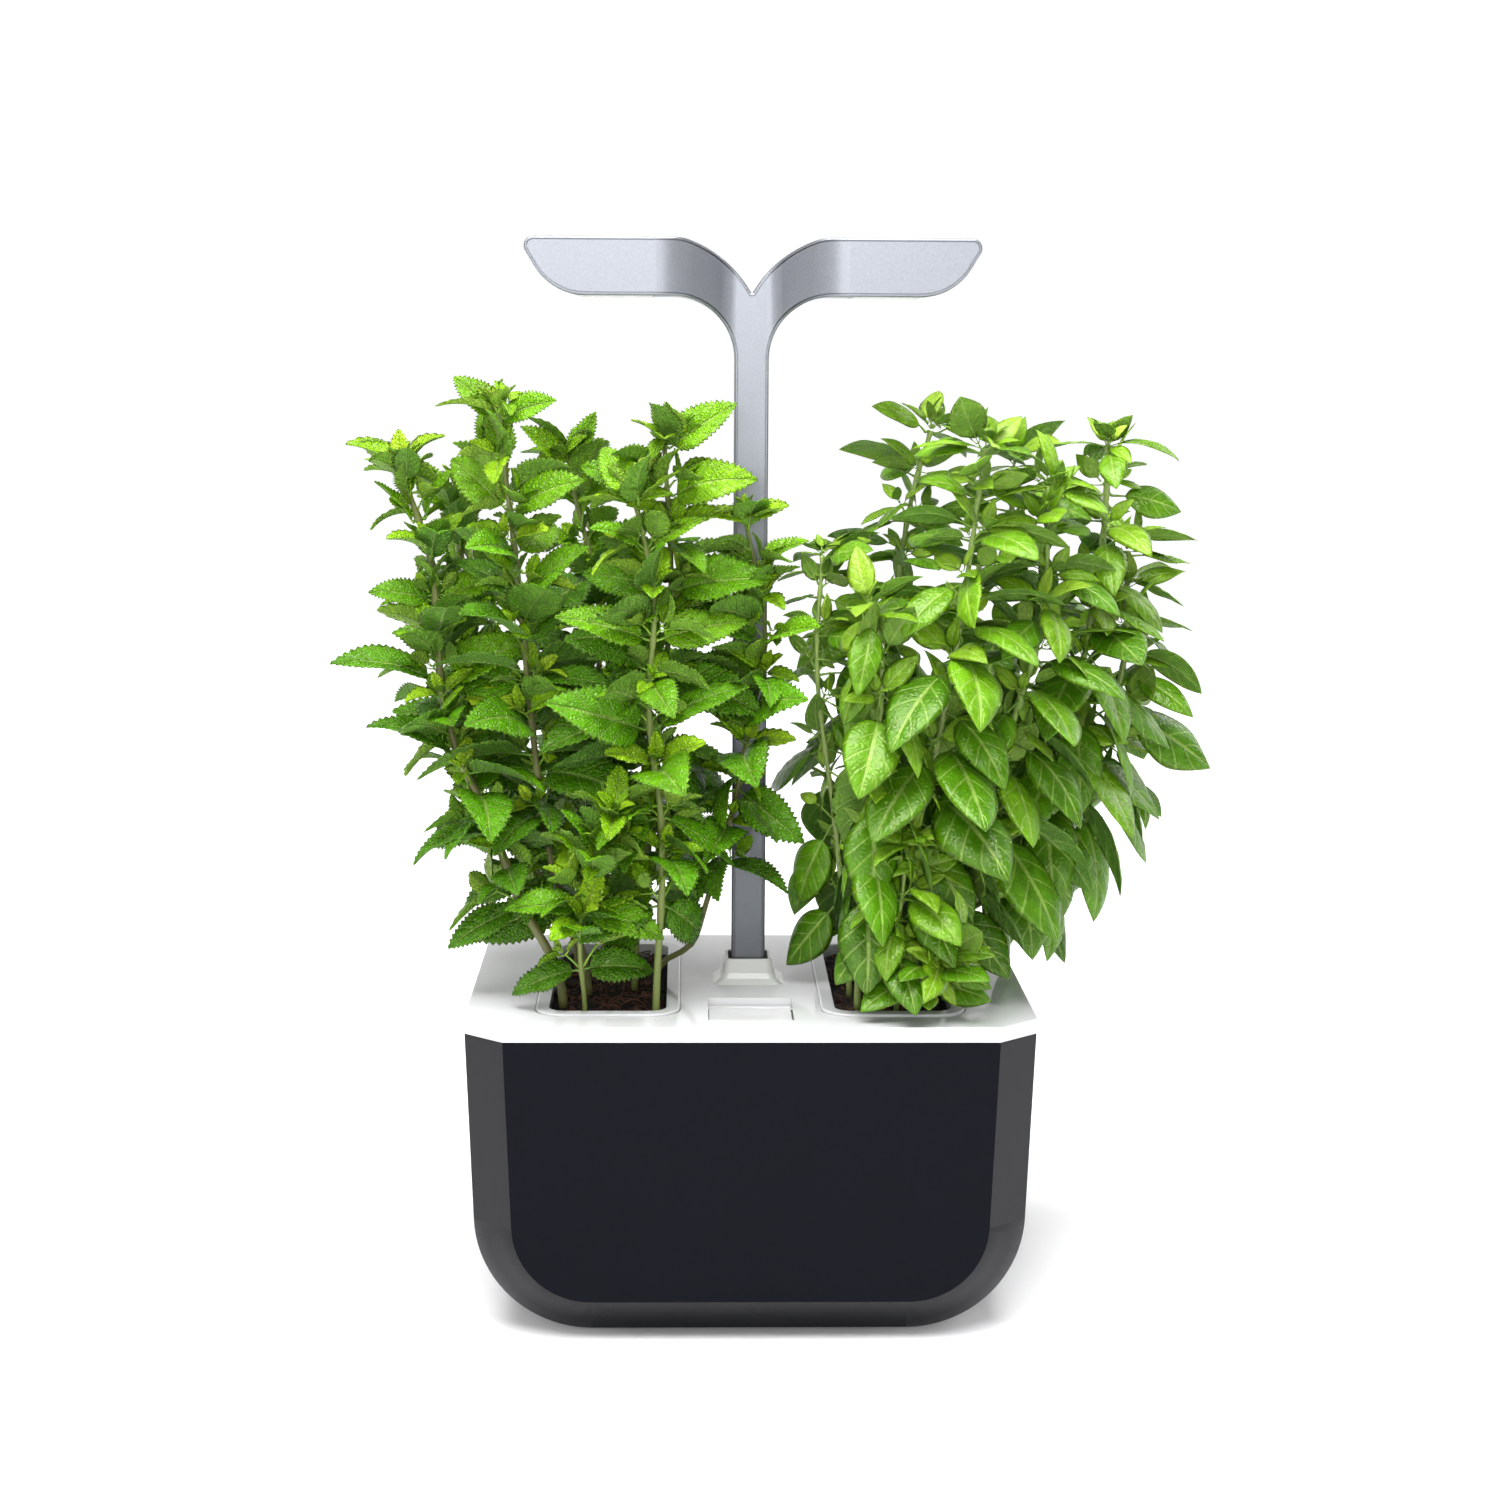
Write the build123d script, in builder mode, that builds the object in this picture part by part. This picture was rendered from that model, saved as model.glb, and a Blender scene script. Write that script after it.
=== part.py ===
from build123d import *
import math
import os

import numpy as np

os.makedirs("parts", exist_ok=True)

# Countertop hydroponic garden: a tank with a lift-off cover, two lift-out plant baskets and a
# height-adjustable grow lamp. Millimetres, +X right, -Y front, +Z up. The origin is on the table,
# under the middle of the tank.

# ---------------------------------------------------------------- driving sizes

# body: a U-shaped tank with a bevelled band round its front and back edges
body_width = 240.0
body_depth = 170.0
tank_height = 128.9
plate_thickness = 6.4
side_draft = 2.2            # degrees, the sides lean in towards the foot
corner_radius = 50.0
band_width = 16.7           # the bevel, seen from the front
band_depth = 14.6           # the bevel, seen from above
tank_wall = 2.6

foot_gap = 1.2              # the tank stands this far off the table
foot_groove = 0.8
foot_length = 124.0
foot_width = 5.0
foot_radius = 14.0

# cover plate
plate_skin = 2.6
rim_thickness = 4.6
lip_depth = 5.0
lip_clearance = 0.4
boss_radius = 3.0

# baskets
basket_offset = 60.4        # from the middle of the body to the middle of a basket
basket_length = 123.0       # inside the pot's mouth
basket_width = 49.6
basket_wall = 1.8
basket_depth = 58.0
basket_taper = 3.0
basket_corner = 7.0
flange_overhang = 3.9
flange_thickness = 2.0
flange_sink = 1.0
basket_clearance = 0.5
soil_drop = 4.0             # the growing block's top lies this far under the plate's top
soil_clearance = 0.3
wick_width = 30.0
wick_thickness = 3.0
wick_clearance = 0.4
wick_floor_gap = 4.0
slot_width = 4.0
slot_length = 30.0
slot_spacing = 38.0

# lamp: two wings on a square mast
mast_width = 14.6
mast_depth = 14.0
mast_insertion = 52.0       # how far the mast reaches down under the plate's top
lamp_rise = 322.4           # top of the wings over the plate's top
wing_reach = 98.7
wing_height = 24.2
wing_half_depth = 25.0
bend_top_start = 29.8
bend_top_radius = 46.7
bend_top_blend = 20.0
notch_depth = 23.3
notch_round = 0.6
bend_radius = 26.3
tip_corner_radius = 4.0
tip_slant_run = 7.4
tip_slant_drop = 12.3
plan_flat_start = 32.0
plan_neck_end = 10.0
plan_fillet = 24.0
neck_fillet = 10.0
lamp_wall = 2.4
lamp_edge_round = 0.8
cover_inset = 1.5
cover_gap = 0.5
cover_skin = 1.6

led_board_length = 34.0
led_board_width = 36.0
led_board_thickness = 1.6
led_board_lift = 5.0        # over the wing's underside
led_board_middle = 57.4
led_chip = 3.0
led_chip_height = 0.8
led_pitch_x = 9.0
led_pitch_y = 10.0
diffuser_length = 30.0
diffuser_width = 38.0
diffuser_thickness = 2.0
diffuser_drop = 0.4
diffuser_clearance = 0.2
ledge_width = 1.8
wire_radius = 0.9
contact_width = 4.8
contact_thickness = 0.3

# mast socket and sleeve
socket_base_width = 31.0
socket_base_depth = 26.0
socket_flare = (            # height over the plate's top, width and depth
    (0.9, 27.6, 24.4),
    (2.4, 24.6, 22.8),
    (4.8, 22.2, 21.4),
)
socket_rim_width = 20.6
socket_rim_depth = 19.6
socket_height = 10.9
guide_clearance = 0.4
gasket_thickness = 1.2
gasket_height = 3.6
gasket_drop = 0.5
gasket_clearance = 0.25
spigot_wall = 2.0
spigot_clearance = 0.2
sleeve_wall = 2.0
sleeve_side_wall = 3.0
sleeve_flange_length = 42.0
sleeve_flange_width = 32.0
sleeve_flange_thickness = 2.4
sleeve_screw_x = 16.5
sleeve_screw_y = 12.0
lug_height = 6.0
lug_width = 5.0
lug_reach = 1.2
lug_clearance = 0.3
foot_spigot_height = 8.0
lamp_travel_up = 25.0
lamp_travel_down = 70.0
sleeve_end_gap = 0.5

# screws
screw_radius = 1.5
screw_head_radius = 2.6
screw_head_height = 1.4
screw_hole_radius = 1.7
screw_length = 5.0

# filler with its flap
filler_width = 36.0
filler_length = 37.0
filler_front = 12.2         # from the front edge of the body
flap_drop = 3.7             # flap's top under the plate's top
flap_thickness = 2.4
flap_clearance = 0.4
flap_floor_gap = 0.3
flap_barrel_radius = 1.6
flap_pin_radius = 0.9
pin_clearance = 0.05
tray_wall = 2.0
tray_floor = 1.8
throat_length = 22.0
throat_width = 26.0

# float and its guide
float_radius = 11.3
float_height = 18.0
float_clearance = 0.3
float_rod_radius = 1.5
float_rod_length = 25.0
float_travel = 70.0
guide_wall = 1.4
guide_floor_gap = 8.0
guide_floor = 2.0
guide_slot_width = 6.0

# electronics under the back of the cover
housing_width = 52.0
housing_front = 22.0        # distance of its front wall behind the mast's middle
housing_height = 24.0
housing_wall = 2.0
housing_clearance = 0.5
lid_thickness = 1.6
ear_width = 6.5
ear_length = 9.0
ear_place = 46.0
board_thickness = 1.6
board_gap = 1.0
board_post_height = 3.0
board_post_radius = 1.5
jack_width = 9.0
jack_length = 13.0
jack_height = 10.6
jack_bore_radius = 3.2
jack_bore_depth = 9.0
jack_pin_radius = 1.0
jack_pin_length = 8.0
jack_place = -12.0
button_place = 12.0
button_radius = 4.0
button_clearance = 0.05
button_proud = 1.4
button_travel = 1.0
button_flange = 1.2
switch_gap = 0.2
contact_block_width = 6.4
contact_block_height = 8.0
contact_block_drop = 8.0
contact_gap = 0.3

# plants
basket_travel = 68.0         # how far a basket lifts before it is clear of the plate
plant_border_y = -20.0      # the plants meet on one line in front of here, on another behind
plant_border_front = 34.0
plant_border_back = 10.0
stem_leaf_gap = 0.6
leaf_sway = 15.0             # how much a stem's leaves differ in tilt from pair to pair
leaf_thickness = 0.7
petiole_width = 1.2

# ---------------------------------------------------------------- levels and fits worked out

rim_level = foot_gap + tank_height
top_level = rim_level + plate_thickness
skin_level = top_level - plate_skin
tank_floor_level = foot_gap + tank_wall
side_slope = math.tan(math.radians(side_draft))

flange_width = basket_width + 2 * (basket_wall + flange_overhang)
flange_length = basket_length + 2 * (basket_wall + flange_overhang)
flange_level = top_level - flange_sink
soil_level = top_level - soil_drop

mast_foot_level = top_level - mast_insertion
mast_end_level = mast_foot_level + lug_height
lamp_top = top_level + lamp_rise
wing_floor = lamp_top - wing_height
tip_angle = math.atan2(tip_slant_drop, tip_slant_run)
tip_arc_run = (wing_height - tip_slant_drop) / math.tan(tip_angle / 2)
tip_arc_end = wing_reach - tip_slant_run - tip_arc_run
sleeve_bore_width = mast_width + 2 * guide_clearance
sleeve_bore_depth = mast_depth + 2 * guide_clearance
sleeve_floor_level = mast_foot_level - lamp_travel_down - sleeve_end_gap
groove_top = mast_foot_level + lug_height + lamp_travel_up + lug_clearance

filler_back_y = -body_depth / 2 + filler_front + filler_length
filler_middle_y = filler_back_y - filler_length / 2
pin_level = top_level - flap_drop - 1.0
pin_y = filler_back_y - flap_barrel_radius - flap_clearance
tray_level = pin_level - flap_barrel_radius - flap_floor_gap
tray_bottom = tray_level - tray_floor
throat_y = filler_middle_y

lid_level = rim_level
housing_bottom = rim_level - housing_height
housing_back = body_depth / 2
board_level = housing_bottom + housing_wall + board_post_height
jack_level = board_level + board_thickness + jack_height / 2
contact_level = rim_level - contact_block_drop
strip_bottom = contact_level - lamp_travel_up - contact_block_height / 2 - 1.0
strip_top = contact_level + lamp_travel_down + contact_block_height


def half_width_at(level, inset=0.0):
    """Half the body's width at a level, `inset` inside its drafted side."""
    return body_width / 2 - (top_level - level) * side_slope - inset


# ---------------------------------------------------------------- body form: tank and plate share it

with BuildPart() as body_form:
    with BuildSketch(Plane.XZ) as body_outline:
        with BuildLine():
            Polyline(
                (-half_width_at(top_level), top_level),
                (-half_width_at(foot_gap), foot_gap),
                (half_width_at(foot_gap), foot_gap),
                (half_width_at(top_level), top_level),
                close=True,
            )
        make_face()
        fillet(body_outline.vertices().group_by(Axis.Y)[0], corner_radius)
    extrude(amount=body_depth / 2, both=True)
    for end in (0, -1):
        end_face = body_form.faces().sort_by(Axis.Y)[end]
        band_edges = end_face.edges().sort_by(Axis.Z)[:-1]
        chamfer(band_edges, band_width, band_depth, reference=end_face)

# ---------------------------------------------------------------- tank

with BuildPart() as tank_shell:
    add(body_form.part)
    split(bisect_by=Plane.XY.offset(rim_level), keep=Keep.BOTTOM)
    offset(amount=-tank_wall, openings=tank_shell.faces().sort_by(Axis.Z)[-1])
    # groove for the foot ring
    with BuildSketch(Plane.XY.offset(foot_gap)):
        RectangleRounded(foot_length, foot_length, foot_radius)
        RectangleRounded(
            foot_length - 2 * foot_width,
            foot_length - 2 * foot_width,
            foot_radius - foot_width,
            mode=Mode.SUBTRACT,
        )
    extrude(amount=foot_groove, mode=Mode.SUBTRACT)
    # notch in the back wall for the electronics housing
    with BuildSketch(Plane.XY.offset(housing_bottom - housing_clearance)):
        with Locations((0, housing_back)):
            Rectangle(housing_width + 2 * housing_clearance, 4 * tank_wall)
    extrude(until=Until.LAST, mode=Mode.SUBTRACT)
tank_shell.part.label = "tank_shell"
export_step(tank_shell.part, "parts/tank_shell.step")

with BuildPart() as foot_ring:
    with BuildSketch():
        RectangleRounded(foot_length, foot_length, foot_radius)
        RectangleRounded(
            foot_length - 2 * foot_width,
            foot_length - 2 * foot_width,
            foot_radius - foot_width,
            mode=Mode.SUBTRACT,
        )
    extrude(amount=foot_gap + foot_groove)
foot_ring.part.label = "foot_ring"
export_step(foot_ring.part, "parts/foot_ring.step")

# ---------------------------------------------------------------- cover plate

with BuildPart() as cover_plate:
    add(body_form.part)
    split(bisect_by=Plane.XY.offset(rim_level), keep=Keep.TOP)
    plate_outline = cover_plate.faces().sort_by(Axis.Z)[0].outer_wire()
    # hollow underside, leaving the skin and the rim
    with BuildSketch(Plane.XY.offset(rim_level)):
        make_face(plate_outline.edges())
        offset(amount=-rim_thickness, kind=Kind.INTERSECTION)
    extrude(amount=plate_thickness - plate_skin, mode=Mode.SUBTRACT)
    # lip that drops inside the tank
    with BuildSketch(Plane.XY.offset(rim_level), mode=Mode.PRIVATE) as lip_inside:
        make_face(plate_outline.edges())
        offset(amount=-rim_thickness, kind=Kind.INTERSECTION)
    with BuildSketch(Plane.XY.offset(skin_level)):
        make_face(plate_outline.edges())
        offset(amount=-(tank_wall + lip_clearance), kind=Kind.INTERSECTION)
        add(lip_inside.sketch_local, mode=Mode.SUBTRACT)
    extrude(amount=rim_level - lip_depth - skin_level)
    # bay for the electronics housing
    with BuildSketch(Plane.XY.offset(rim_level - lip_depth)):
        with Locations((0, housing_back)):
            Rectangle(housing_width + 2 * housing_clearance, 4 * rim_thickness)
    extrude(amount=lip_depth, mode=Mode.SUBTRACT)
    # bosses for the screws of the sleeve and of the electronics lid
    with BuildSketch(Plane.XY.offset(rim_level)):
        with GridLocations(2 * sleeve_screw_x, 2 * sleeve_screw_y, 2, 2):
            Circle(boss_radius)
        with Locations((0, ear_place)):
            with GridLocations(housing_width + ear_width, 1, 2, 1):
                Circle(boss_radius)
    extrude(amount=plate_thickness - plate_skin / 2)
    with BuildSketch(Plane.XY.offset(rim_level)):
        with GridLocations(2 * sleeve_screw_x, 2 * sleeve_screw_y, 2, 2):
            Circle(screw_radius)
        with Locations((0, ear_place)):
            with GridLocations(housing_width + ear_width, 1, 2, 1):
                Circle(screw_radius)
    extrude(amount=plate_thickness - plate_skin, mode=Mode.SUBTRACT)
    # tray of the filler
    with BuildSketch(Plane.XY.offset(tray_bottom)):
        with Locations((0, filler_middle_y)):
            Rectangle(filler_width + 2 * tray_wall, filler_length + 2 * tray_wall)
    extrude(amount=top_level - plate_skin / 2 - tray_bottom)
    with BuildSketch(Plane.XY.offset(tray_level)):
        with Locations((0, filler_middle_y)):
            Rectangle(filler_width, filler_length)
    extrude(until=Until.LAST, mode=Mode.SUBTRACT)
    with BuildSketch(Plane.XY.offset(tray_bottom)):
        with Locations((0, throat_y)):
            RectangleRounded(throat_width, throat_length, 4)
    extrude(amount=tray_floor, mode=Mode.SUBTRACT)
    with Locations(Plane.YZ.offset(-filler_width / 2 - tray_wall) * Location((pin_y, pin_level))):
        Cylinder(
            flap_pin_radius,
            filler_width + 2 * tray_wall,
            align=(Align.CENTER, Align.CENTER, Align.MIN),
            mode=Mode.SUBTRACT,
        )
    # openings and shallow seats for the two baskets
    with BuildSketch(Plane.XY.offset(rim_level)):
        with GridLocations(2 * basket_offset, 0, 2, 1):
            RectangleRounded(
                basket_width + 2 * (basket_wall + basket_clearance),
                basket_length + 2 * (basket_wall + basket_clearance),
                basket_corner + basket_wall,
            )
    extrude(until=Until.LAST, mode=Mode.SUBTRACT)
    with BuildSketch(Plane.XY.offset(flange_level)):
        with GridLocations(2 * basket_offset, 0, 2, 1):
            RectangleRounded(
                flange_width + 2 * basket_clearance,
                flange_length + 2 * basket_clearance,
                basket_corner + basket_wall + flange_overhang,
            )
    extrude(amount=flange_sink, mode=Mode.SUBTRACT)
    # hole for the socket's spigot
    with BuildSketch(Plane.XY.offset(rim_level)):
        Rectangle(
            sleeve_bore_width + 2 * (spigot_wall + spigot_clearance),
            sleeve_bore_depth + 2 * (spigot_wall + spigot_clearance),
        )
    extrude(until=Until.LAST, mode=Mode.SUBTRACT)
cover_plate.part.label = "cover_plate"
export_step(cover_plate.part, "parts/cover_plate.step")

# ---------------------------------------------------------------- mast socket, gasket and sleeve

with BuildPart() as mast_socket:
    for height, width, depth in (
        (0, socket_base_width, socket_base_depth),
        *socket_flare,
        (socket_height, socket_rim_width, socket_rim_depth),
    ):
        with BuildSketch(Plane.XY.offset(top_level + height)):
            RectangleRounded(width, depth, 3)
    loft(ruled=True)
    fillet(mast_socket.faces().sort_by(Axis.Z)[-1].edges(), 0.6)
    with BuildSketch(Plane.XY.offset(rim_level)):
        Rectangle(sleeve_bore_width + 2 * spigot_wall, sleeve_bore_depth + 2 * spigot_wall)
    extrude(amount=plate_thickness)
    with BuildSketch(Plane.XY.offset(rim_level)):
        Rectangle(sleeve_bore_width, sleeve_bore_depth)
    extrude(until=Until.LAST, mode=Mode.SUBTRACT)
    with BuildSketch(Plane.XY.offset(top_level + socket_height - gasket_drop - gasket_height)):
        Rectangle(
            mast_width + 2 * (gasket_clearance + gasket_thickness),
            mast_depth + 2 * (gasket_clearance + gasket_thickness),
        )
    extrude(until=Until.LAST, mode=Mode.SUBTRACT)
mast_socket.part.label = "mast_socket"
export_step(mast_socket.part, "parts/mast_socket.step")

with BuildPart() as mast_gasket:
    with BuildSketch(Plane.XY.offset(top_level + socket_height - gasket_drop - gasket_height)):
        Rectangle(
            mast_width + 2 * (gasket_clearance + gasket_thickness),
            mast_depth + 2 * (gasket_clearance + gasket_thickness),
        )
        Rectangle(
            mast_width + 2 * gasket_clearance,
            mast_depth + 2 * gasket_clearance,
            mode=Mode.SUBTRACT,
        )
    extrude(amount=gasket_height)
mast_gasket.part.label = "mast_gasket"
export_step(mast_gasket.part, "parts/mast_gasket.step")

with BuildPart() as mast_sleeve:
    with BuildSketch(Plane.XY.offset(sleeve_floor_level - sleeve_wall)):
        RectangleRounded(
            sleeve_bore_width + 2 * sleeve_side_wall, sleeve_bore_depth + 2 * sleeve_wall, 1.5
        )
    extrude(amount=rim_level - sleeve_floor_level + sleeve_wall)
    with BuildSketch(Plane.XY.offset(rim_level)):
        RectangleRounded(sleeve_flange_length, sleeve_flange_width, 4)
    extrude(amount=-sleeve_flange_thickness)
    with BuildSketch(Plane.XY.offset(sleeve_floor_level)):
        Rectangle(sleeve_bore_width, sleeve_bore_depth)
    extrude(until=Until.LAST, mode=Mode.SUBTRACT)
    # side grooves that stop the mast's lugs at the top of its travel
    with BuildSketch(Plane.XY.offset(sleeve_floor_level)):
        Rectangle(
            mast_width + 2 * (lug_reach + lug_clearance), lug_width + 2 * lug_clearance
        )
    extrude(amount=groove_top - sleeve_floor_level, mode=Mode.SUBTRACT)
    # window for the spring contacts, and screw holes in the flange
    with BuildSketch(Plane.XY.offset(contact_level - contact_block_height / 2 - contact_gap)):
        with Locations((0, sleeve_bore_depth / 2 + sleeve_wall / 2)):
            Rectangle(contact_block_width + 2 * contact_gap, 2 * sleeve_wall)
    extrude(amount=contact_block_height + 2 * contact_gap, mode=Mode.SUBTRACT)
    with BuildSketch(Plane.XY.offset(rim_level)):
        with GridLocations(2 * sleeve_screw_x, 2 * sleeve_screw_y, 2, 2):
            Circle(screw_hole_radius)
    extrude(amount=-sleeve_flange_thickness, mode=Mode.SUBTRACT)
mast_sleeve.part.label = "mast_sleeve"
export_step(mast_sleeve.part, "parts/mast_sleeve.step")

with BuildPart() as sleeve_screws:
    head_level = rim_level - sleeve_flange_thickness
    with BuildSketch(Plane.XY.offset(head_level)):
        with GridLocations(2 * sleeve_screw_x, 2 * sleeve_screw_y, 2, 2):
            Circle(screw_head_radius)
    extrude(amount=-screw_head_height)
    with BuildSketch(Plane.XY.offset(head_level)):
        with GridLocations(2 * sleeve_screw_x, 2 * sleeve_screw_y, 2, 2):
            Circle(screw_radius)
    extrude(amount=screw_length)
sleeve_screws.part.label = "sleeve_screws"
export_step(sleeve_screws.part, "parts/sleeve_screws.step")

# ---------------------------------------------------------------- filler flap and its pin

with BuildPart() as filler_flap:
    flap_back_y = pin_y
    flap_front_y = filler_back_y - filler_length + flap_clearance
    with BuildSketch(Plane.XY.offset(top_level - flap_drop)):
        with Locations((0, (flap_back_y + flap_front_y) / 2)):
            Rectangle(filler_width - 2 * flap_clearance, flap_back_y - flap_front_y)
    extrude(amount=-flap_thickness)
    with BuildSketch(Plane.YZ.offset(-filler_width / 2 + flap_clearance)):
        with Locations((pin_y, pin_level)):
            Circle(flap_barrel_radius)
    extrude(amount=filler_width - 2 * flap_clearance)
    with BuildSketch(Plane.YZ.offset(-filler_width / 2 + flap_clearance)):
        with Locations((pin_y, pin_level)):
            Circle(flap_pin_radius + pin_clearance)
    extrude(amount=filler_width - 2 * flap_clearance, mode=Mode.SUBTRACT)
filler_flap.part.label = "filler_flap"
export_step(filler_flap.part, "parts/filler_flap.step")

with BuildPart() as flap_pin:
    with BuildSketch(Plane.YZ.offset(-filler_width / 2 - tray_wall)):
        with Locations((pin_y, pin_level)):
            Circle(flap_pin_radius)
    extrude(amount=filler_width + 2 * tray_wall)
flap_pin.part.label = "flap_pin"
export_step(flap_pin.part, "parts/flap_pin.step")

# ---------------------------------------------------------------- float and its guide

guide_bottom = tank_floor_level + guide_floor_gap
guide_radius = float_radius + float_clearance + guide_wall

with BuildPart() as float_guide:
    with BuildSketch(Plane.XY.offset(guide_bottom)):
        with Locations((0, throat_y)):
            Circle(guide_radius)
    extrude(amount=tray_bottom - guide_bottom)
    with BuildSketch(Plane.XY.offset(guide_bottom + guide_floor)):
        with Locations((0, throat_y)):
            Circle(guide_radius - guide_wall)
    extrude(until=Until.LAST, mode=Mode.SUBTRACT)
    # four long slots let the water in and out
    with BuildSketch(Plane.XY.offset(guide_bottom + guide_floor)):
        with Locations((0, throat_y)):
            Rectangle(guide_slot_width, 3 * guide_radius)
            Rectangle(3 * guide_radius, guide_slot_width)
    extrude(amount=tray_bottom - guide_bottom - 4 * guide_floor, mode=Mode.SUBTRACT)
    with BuildSketch(Plane.XY.offset(guide_bottom)):
        with Locations((0, throat_y)):
            Circle(float_radius / 2)
    extrude(amount=guide_floor, mode=Mode.SUBTRACT)
float_guide.part.label = "float_guide"
export_step(float_guide.part, "parts/float_guide.step")

with BuildPart() as level_float:
    with BuildSketch(Plane.XY.offset(guide_bottom + guide_floor)):
        with Locations((0, throat_y)):
            Circle(float_radius)
    extrude(amount=float_height)
    fillet(level_float.faces().sort_by(Axis.Z)[-1].edges(), 2)
level_float.part.label = "level_float"
export_step(level_float.part, "parts/level_float.step")

with BuildPart() as float_rod:
    with BuildSketch(Plane.XY.offset(guide_bottom + guide_floor + float_height)):
        with Locations((0, throat_y)):
            Circle(float_rod_radius)
    extrude(amount=float_rod_length)
float_rod.part.label = "float_rod"
export_step(float_rod.part, "parts/float_rod.step")

# ---------------------------------------------------------------- electronics

board_front = housing_front + housing_wall + board_gap
board_back = housing_back - housing_wall - board_gap
board_middle = (board_front + board_back) / 2

with BuildPart() as driver_housing:
    with BuildSketch(Plane.XY.offset(housing_bottom)):
        with Locations((0, (housing_front + housing_back) / 2)):
            Rectangle(housing_width, housing_back - housing_front)
    extrude(amount=housing_height - lid_thickness)
    offset(amount=-housing_wall, openings=driver_housing.faces().sort_by(Axis.Z)[-1])
    with BuildSketch(Plane.XY.offset(housing_bottom + housing_wall)):
        with Locations((0, board_middle)):
            with GridLocations(housing_width - 14, board_back - board_front - 10, 2, 2):
                Circle(board_post_radius)
    extrude(amount=board_post_height)
    # holes in the back wall for the inlet and the button, and in the front for the contacts
    with BuildSketch(Plane.XZ.offset(-housing_back)):
        with Locations((jack_place, jack_level)):
            Circle(jack_bore_radius)
        with Locations((button_place, jack_level)):
            Circle(button_radius + button_clearance)
    extrude(amount=housing_wall, mode=Mode.SUBTRACT)
driver_housing.part.label = "driver_housing"
export_step(driver_housing.part, "parts/driver_housing.step")

with BuildPart() as driver_lid:
    with BuildSketch(Plane.XY.offset(lid_level)):
        with Locations((0, (housing_front + housing_back) / 2)):
            Rectangle(housing_width, housing_back - housing_front)
        with Locations((0, ear_place)):
            Rectangle(housing_width + 2 * ear_width, ear_length)
    extrude(amount=-lid_thickness)
    with BuildSketch(Plane.XY.offset(lid_level)):
        with Locations((0, ear_place)):
            with GridLocations(housing_width + ear_width, 1, 2, 1):
                Circle(screw_hole_radius)
    extrude(amount=-lid_thickness, mode=Mode.SUBTRACT)
driver_lid.part.label = "driver_lid"
export_step(driver_lid.part, "parts/driver_lid.step")

with BuildPart() as lid_screws:
    with BuildSketch(Plane.XY.offset(lid_level - lid_thickness)):
        with Locations((0, ear_place)):
            with GridLocations(housing_width + ear_width, 1, 2, 1):
                Circle(screw_head_radius)
    extrude(amount=-screw_head_height)
    with BuildSketch(Plane.XY.offset(lid_level - lid_thickness)):
        with Locations((0, ear_place)):
            with GridLocations(housing_width + ear_width, 1, 2, 1):
                Circle(screw_radius)
    extrude(amount=screw_length)
lid_screws.part.label = "lid_screws"
export_step(lid_screws.part, "parts/lid_screws.step")

button_back = housing_back - housing_wall - button_flange - button_travel
with BuildPart() as driver_board:
    with BuildSketch(Plane.XY.offset(board_level)):
        with Locations((0, board_middle)):
            Rectangle(housing_width - 2 * (housing_wall + board_gap), board_back - board_front)
    extrude(amount=board_thickness)
    # transformer, storage capacitors and the timer chip
    board_top = board_level + board_thickness
    with BuildSketch(Plane.XY.offset(board_top)):
        with Locations((-11, board_middle - 12)):
            Rectangle(16, 14)
    extrude(amount=10)
    with BuildSketch(Plane.XY.offset(board_top)):
        with Locations((8, board_middle - 16), (17, board_middle - 16)):
            Circle(3.5)
    extrude(amount=11)
    with BuildSketch(Plane.XY.offset(board_top)):
        with Locations((10, board_middle)):
            Rectangle(12, 9)
    extrude(amount=1.6)
    # push switch behind the button
    with BuildSketch(Plane.XY.offset(board_top)):
        with Locations((button_place, button_back - button_travel - switch_gap - 3)):
            Rectangle(8, 6)
    extrude(amount=jack_height)
driver_board.part.label = "driver_board"
export_step(driver_board.part, "parts/driver_board.step")

with BuildPart() as power_inlet:
    with BuildSketch(Plane.XY.offset(board_level + board_thickness)):
        with Locations((jack_place, housing_back - housing_wall - jack_length / 2)):
            Rectangle(jack_width, jack_length)
    extrude(amount=jack_height)
    with BuildSketch(Plane.XZ.offset(-(housing_back - housing_wall))):
        with Locations((jack_place, jack_level)):
            Circle(jack_bore_radius)
    extrude(amount=jack_bore_depth, mode=Mode.SUBTRACT)
    with BuildSketch(Plane.XZ.offset(-(housing_back - housing_wall - jack_bore_depth))):
        with Locations((jack_place, jack_level)):
            Circle(jack_pin_radius)
    extrude(amount=-jack_pin_length)
power_inlet.part.label = "power_inlet"
export_step(power_inlet.part, "parts/power_inlet.step")

with BuildPart() as mode_button:
    with BuildSketch(Plane.XZ.offset(-(housing_back + button_proud))):
        with Locations((button_place, jack_level)):
            Circle(button_radius)
    extrude(amount=button_proud + housing_wall + button_travel + button_flange)
    with BuildSketch(Plane.XZ.offset(-(housing_back - housing_wall))):
        with Locations((button_place, jack_level)):
            Circle(button_radius + button_flange)
    extrude(amount=button_flange)
    fillet(mode_button.faces().sort_by(Axis.Y)[-1].edges(), 0.5)
mode_button.part.label = "mode_button"
export_step(mode_button.part, "parts/mode_button.step")

with BuildPart() as contact_block:
    with BuildSketch(Plane.XY.offset(contact_level - contact_block_height / 2)):
        with Locations((0, (mast_depth / 2 + contact_gap + housing_front) / 2)):
            Rectangle(contact_block_width, housing_front - mast_depth / 2 - contact_gap)
    extrude(amount=contact_block_height)
contact_block.part.label = "contact_block"
export_step(contact_block.part, "parts/contact_block.step")

# ---------------------------------------------------------------- baskets, blocks and wicks

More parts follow.
